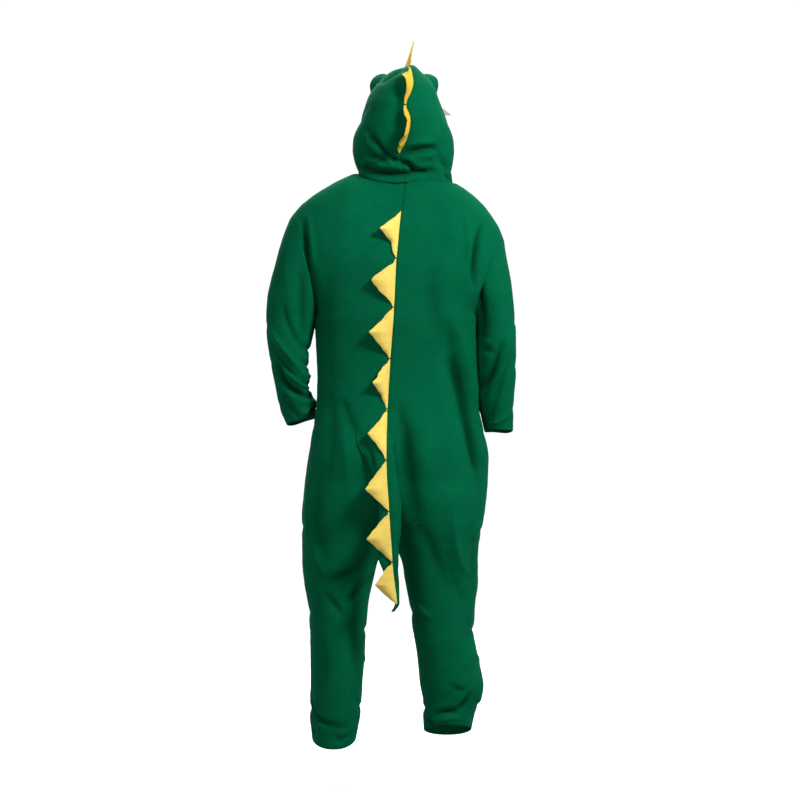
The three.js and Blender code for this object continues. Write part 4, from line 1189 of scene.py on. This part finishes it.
# ---- Eyes: stuffed half balls on the hood, each with a felt white and a pupil ----
def pad_grid(side, centre, radius, height, carried, rings=14, sides=48):
    """Rings from the middle of a pad's top over its edge to the middle of its underside."""
    row, column = centre
    middle, below, beside = (
        hood_point(side, np.array([row + down]), np.array([column + over]))[0]
        for down, over in ((0, 0), (PAD_STEP, 0), (0, PAD_STEP))
    )
    per_row, per_column = (below - middle) / PAD_STEP, (beside - middle) / PAD_STEP
    away = unit(np.cross(per_row, per_column))
    away = away * -np.sign(away[1])
    scale = (np.linalg.norm(per_row), np.linalg.norm(per_column))
    ring = np.linspace(0.004, 1 - 0.004, 2 * rings + 1)[:, None] * math.pi
    turn = np.arange(sides)[None, :] / sides * 2 * math.pi
    x, y, z = np.sin(ring) * np.cos(turn), np.sin(ring) * np.sin(turn), np.cos(ring) * np.ones_like(turn)
    row_at, column_at = row + x * radius / scale[0], column + y * radius / scale[1]
    raised = carried(row_at, column_at) + np.maximum(0, z) * height
    points = hood_point(side, row_at, column_at) + away * raised[..., None]

    def over_pad(rows, columns):
        gap = np.hypot((rows - row) * scale[0], (columns - column) * scale[1]) / radius
        return carried(rows, columns) + height * np.sqrt(clamp(1 - gap ** 2)) + 0.2

    return points, over_pad


def pad_piece(name, grid, material, node):
    index, quads = grid_cells(grid.shape, True)
    points = np.concatenate([grid.reshape(-1, 3), grid[:1].mean(axis=1), grid[-1:].mean(axis=1)])
    faces = facing_out(points, quads).tolist()
    turned = faces[0] != quads[0].tolist()
    for ring, tip, first in ((index[0], index.size, True), (index[-1], index.size + 1, False)):
        for a, b in zip(ring.tolist(), np.roll(ring, -1).tolist()):
            faces.append([tip, a, b] if first != turned else [tip, b, a])
    return make_piece(name, points, faces, material, node)


for side in ("left", "right"):
    centre = (EYE["row"], EYE["column"])
    dome, over = pad_grid(side, centre, EYE["radius"], EYE["height"], lambda rows, _: EYE_SUNK + 0 * rows)
    dome = dome + unit(dome - dome.mean(axis=(0, 1))) * drift(dome, *EYE_DRIFT)[..., None]
    below = pad_piece(f"eye_{side}_pad", dome, fleece, f"eye_{side}")
    for part, slot, disc, material, rings, sides in (
        ("white", "white_felt", EYE_WHITE, white, 6, 40),
        ("pupil", "black_felt", EYE_PUPIL, black, 5, 32),
    ):
        centre = (EYE["row"], EYE["column"] + disc["forward"])
        grid, over = pad_grid(side, centre, disc["radius"], disc["height"], over, rings, sides)
        node = f"eye_{part}_{side}"
        piece = pad_piece(node + "_felt", grid, material, node)
        below = piece

# ---- Teeth along the hood's face edge ----
for side, way in (("left", 1), ("right", -1)):
    edge = cloth[f"hood_{side}"].points[:, -1]
    face_edge = Line(edge[edge[:, 2] < FOREHEAD_Z][::-1])
    seat = [way * SEAT, -SEAT / 2, 0]
    for i, tooth in enumerate(TEETH.rows):
        flipped = side == "right" and i == 0
        turned = FLIPPED_TOOTH if flipped else tooth
        out, forward, up = turned["out"], turned["forward"], turned["up"]
        middle = face_edge.length_at(tooth["z"])
        base = face_edge.at(mix(middle - TOOTH_BASE / 2, middle + TOOTH_BASE / 2, TOOTH_ALONG)) + seat
        edge_point = face_edge.at(np.array([middle]))[0]
        tip = edge_point + [way * out, -forward, up]
        sewn = edge_point + seat
        width = base - sewn
        bend = way * X_AXIS
        if flipped:
            upright = np.array([-0.3, 0, 0.95]) * (0.5 - TOOTH_ALONG)[:, None] * TOOTH_BASE
            width = mix(width, upright, smooth(FELT_ROWS * 3))
            bend = -Y_AXIS
        grid = mix(sewn, tip, FELT_ROWS) + width * np.maximum(1 - FELT_ROWS ** 1.6, 0.03)
        grid = grid + bend * 2.5 * np.sin(math.pi * FELT_ROWS)
        felt_piece(f"tooth_{side}_{i + 1}", grid, bend, white, i + 20.5)

# ---- Zip: tapes behind the fronts, two rows of teeth, a slider and its pull tab ----
front_edge = cloth["front_left"].points[:, 0]
front_normals = cloth["front_left"].normals[:, 0]


def zip_frame(z):
    """Points on the centre front's skin at heights z, with the skin's normals there."""
    point, normal = (
        np.stack([np.interp(-z, -front_edge[:, 2], values) for values in source.T], axis=-1)
        for source in (front_edge, front_normals)
    )
    return point, unit(normal)


tape_z = np.linspace(ZIP_TOP_Z, ZIP_END_Z, 240)
point, normal = zip_frame(tape_z)
across = np.linspace(-TAPE_HALF, TAPE_HALF, 15)
tape_depth = FLEECE_WALL + SEAT
wave = 0.25 * np.sin(tape_z / 6.0)[:, None] * np.abs(across / TAPE_HALF)[None, :] ** 2
outer = point[:, None] - normal[:, None] * (tape_depth + wave)[..., None] + X_AXIS * across[None, :, None]
points, faces = wall_mesh(outer, outer - normal[:, None] * TAPE_WALL, rim=TAPE_RIM)
tape = make_piece("zip_tape_cloth", points, facing_out(points, faces), tape_green, "zip_tape")

point, normal = zip_frame(np.arange(ZIP_TOP_Z - 3, ZIP_END_Z + 4, -ZIP_PITCH))
along_zip = unit(np.gradient(point, axis=0))
across_zip = unit(np.cross(along_zip, normal))
# Each tooth is a row of six-sided sections, by its reach over the middle and its thickness there.
ZIP_SECTIONS = ((-0.35, 0.55), (0.15, 0.85), (1.9, 0.8), (2.75, 0.75), (3.0, 0.35))
points, faces = [], []
for i in range(len(point)):
    way = 1 if i % 2 else -1
    start = len(points)
    for reach, thick in ZIP_SECTIONS:
        centre = point[i] - normal[i] * (tape_depth - 1.0) - across_zip[i] * way * (ZIP_TOOTH_ROOT - reach)
        for turn in np.arange(6) / 6 * 2 * math.pi:
            high = normal[i] * ZIP_TOOTH_HIGH * thick * math.sin(turn)
            points.append(centre + high + along_zip[i] * ZIP_TOOTH_LONG * thick * math.cos(turn))
    own = []
    for ring in range(start, start + 24, 6):
        for k in range(6):
            a, b = ring + k, ring + (k + 1) % 6
            own.append([a, b, b + 6, a + 6])
    own += [list(range(start, start + 6))[::-1], list(range(start + 24, start + 30))]
    faces += own if way > 0 else [corners[::-1] for corners in own]
make_piece("zip_teeth", points, faces, coil_green, "zip_coil")

for node, body in (("zip_slider", "garment"), ("zip_pull_tab", "pull_tab")):
    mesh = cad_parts[node].data.copy()
    mesh.materials.clear()
    piece = add_object(node + "_cast", mesh)
    set_all(piece.modifiers.new("weld", "WELD"), merge_threshold=0.00001)
    bevel = piece.modifiers.new("bevel", "BEVEL")
    set_all(bevel, width=0.0004, segments=3, limit_method="ANGLE", harden_normals=False)
    mesh.shade_smooth()
    attach(piece, metal, node, body)

# ---- Floor, light and camera ----
FLOOR_Z = -1.56
floor_mesh = bpy.data.meshes.new("floor")
corners = [(x, y, FLOOR_Z) for x, y in ((-5, -4), (5, -4), (5, 4), (-5, 4))]
floor_mesh.from_pydata(corners, [], [(0, 1, 2, 3)])
floor = add_object("floor", floor_mesh)
floor_material, tree, shader, place = node_material("floor")
set_values(shader, Roughness=0.9)
paper, dim_paper = (
    add_ramp(tree, add_noise(tree, place, 3), (0.4, dark), (0.6, light))
    for dark, light in ((0.88, 0.9), (0.24, 0.26))
)
# Little of the paper's light comes back up to the garment.
paint(tree, shader, add_mix(tree, "MIX", is_seen(tree), dim_paper, paper))
floor.data.materials.append(floor_material)


def area_light(name, place, target, size, energy):
    data = bpy.data.lights.new(name, "AREA")
    set_all(data, shape="SQUARE", size=size, energy=energy)
    aim = (Vector(target) - Vector(place)).to_track_quat("-Z", "Y").to_euler()
    set_all(add_object(name, data), location=place, rotation_euler=aim)


area_light("key", (-2.0, 2.0, 1.45), (0, 0, 0), 0.8, 153)
area_light("back_fill", (1.9, 3.3, 1.5), (0, 0, 0), 2.0, 67)
area_light("front", (1.2, -4.5, 2.5), (0, -0.5, -0.8), 2.5, 190)
area_light("sweep", (0, -2.5, 3.6), (0, -2.6, FLOOR_Z), 2.5, 260)

# The paper sweep behind the garment is the brightest side of the room.
world = bpy.data.worlds.new("studio")
world.use_nodes = True
tree = world.node_tree
background = next(node for node in tree.nodes if node.type == "BACKGROUND")
way = tree.nodes.new("ShaderNodeSeparateXYZ")
tree.links.new(tree.nodes.new("ShaderNodeTexCoord").outputs["Generated"], way.inputs["Vector"])
room = add_ramp(tree, way.outputs["Y"], (0.0, 0.6), (0.3, 0.085))
tree.links.new(add_mix(tree, "MIX", is_seen(tree), room, (1, 1, 1, 1)), background.inputs["Color"])
set_values(background, Strength=1.05)
bpy.context.scene.world = world
bpy.context.scene.view_settings.view_transform = "Standard"

camera_data = bpy.data.cameras.new("camera")
set_all(camera_data, lens=103.8, sensor_width=36, clip_end=100)
camera = add_object("camera", camera_data)
set_all(camera, location=(0, 6.0, -0.567), rotation_euler=(math.pi / 2, 0, math.pi))
bpy.context.scene.camera = camera
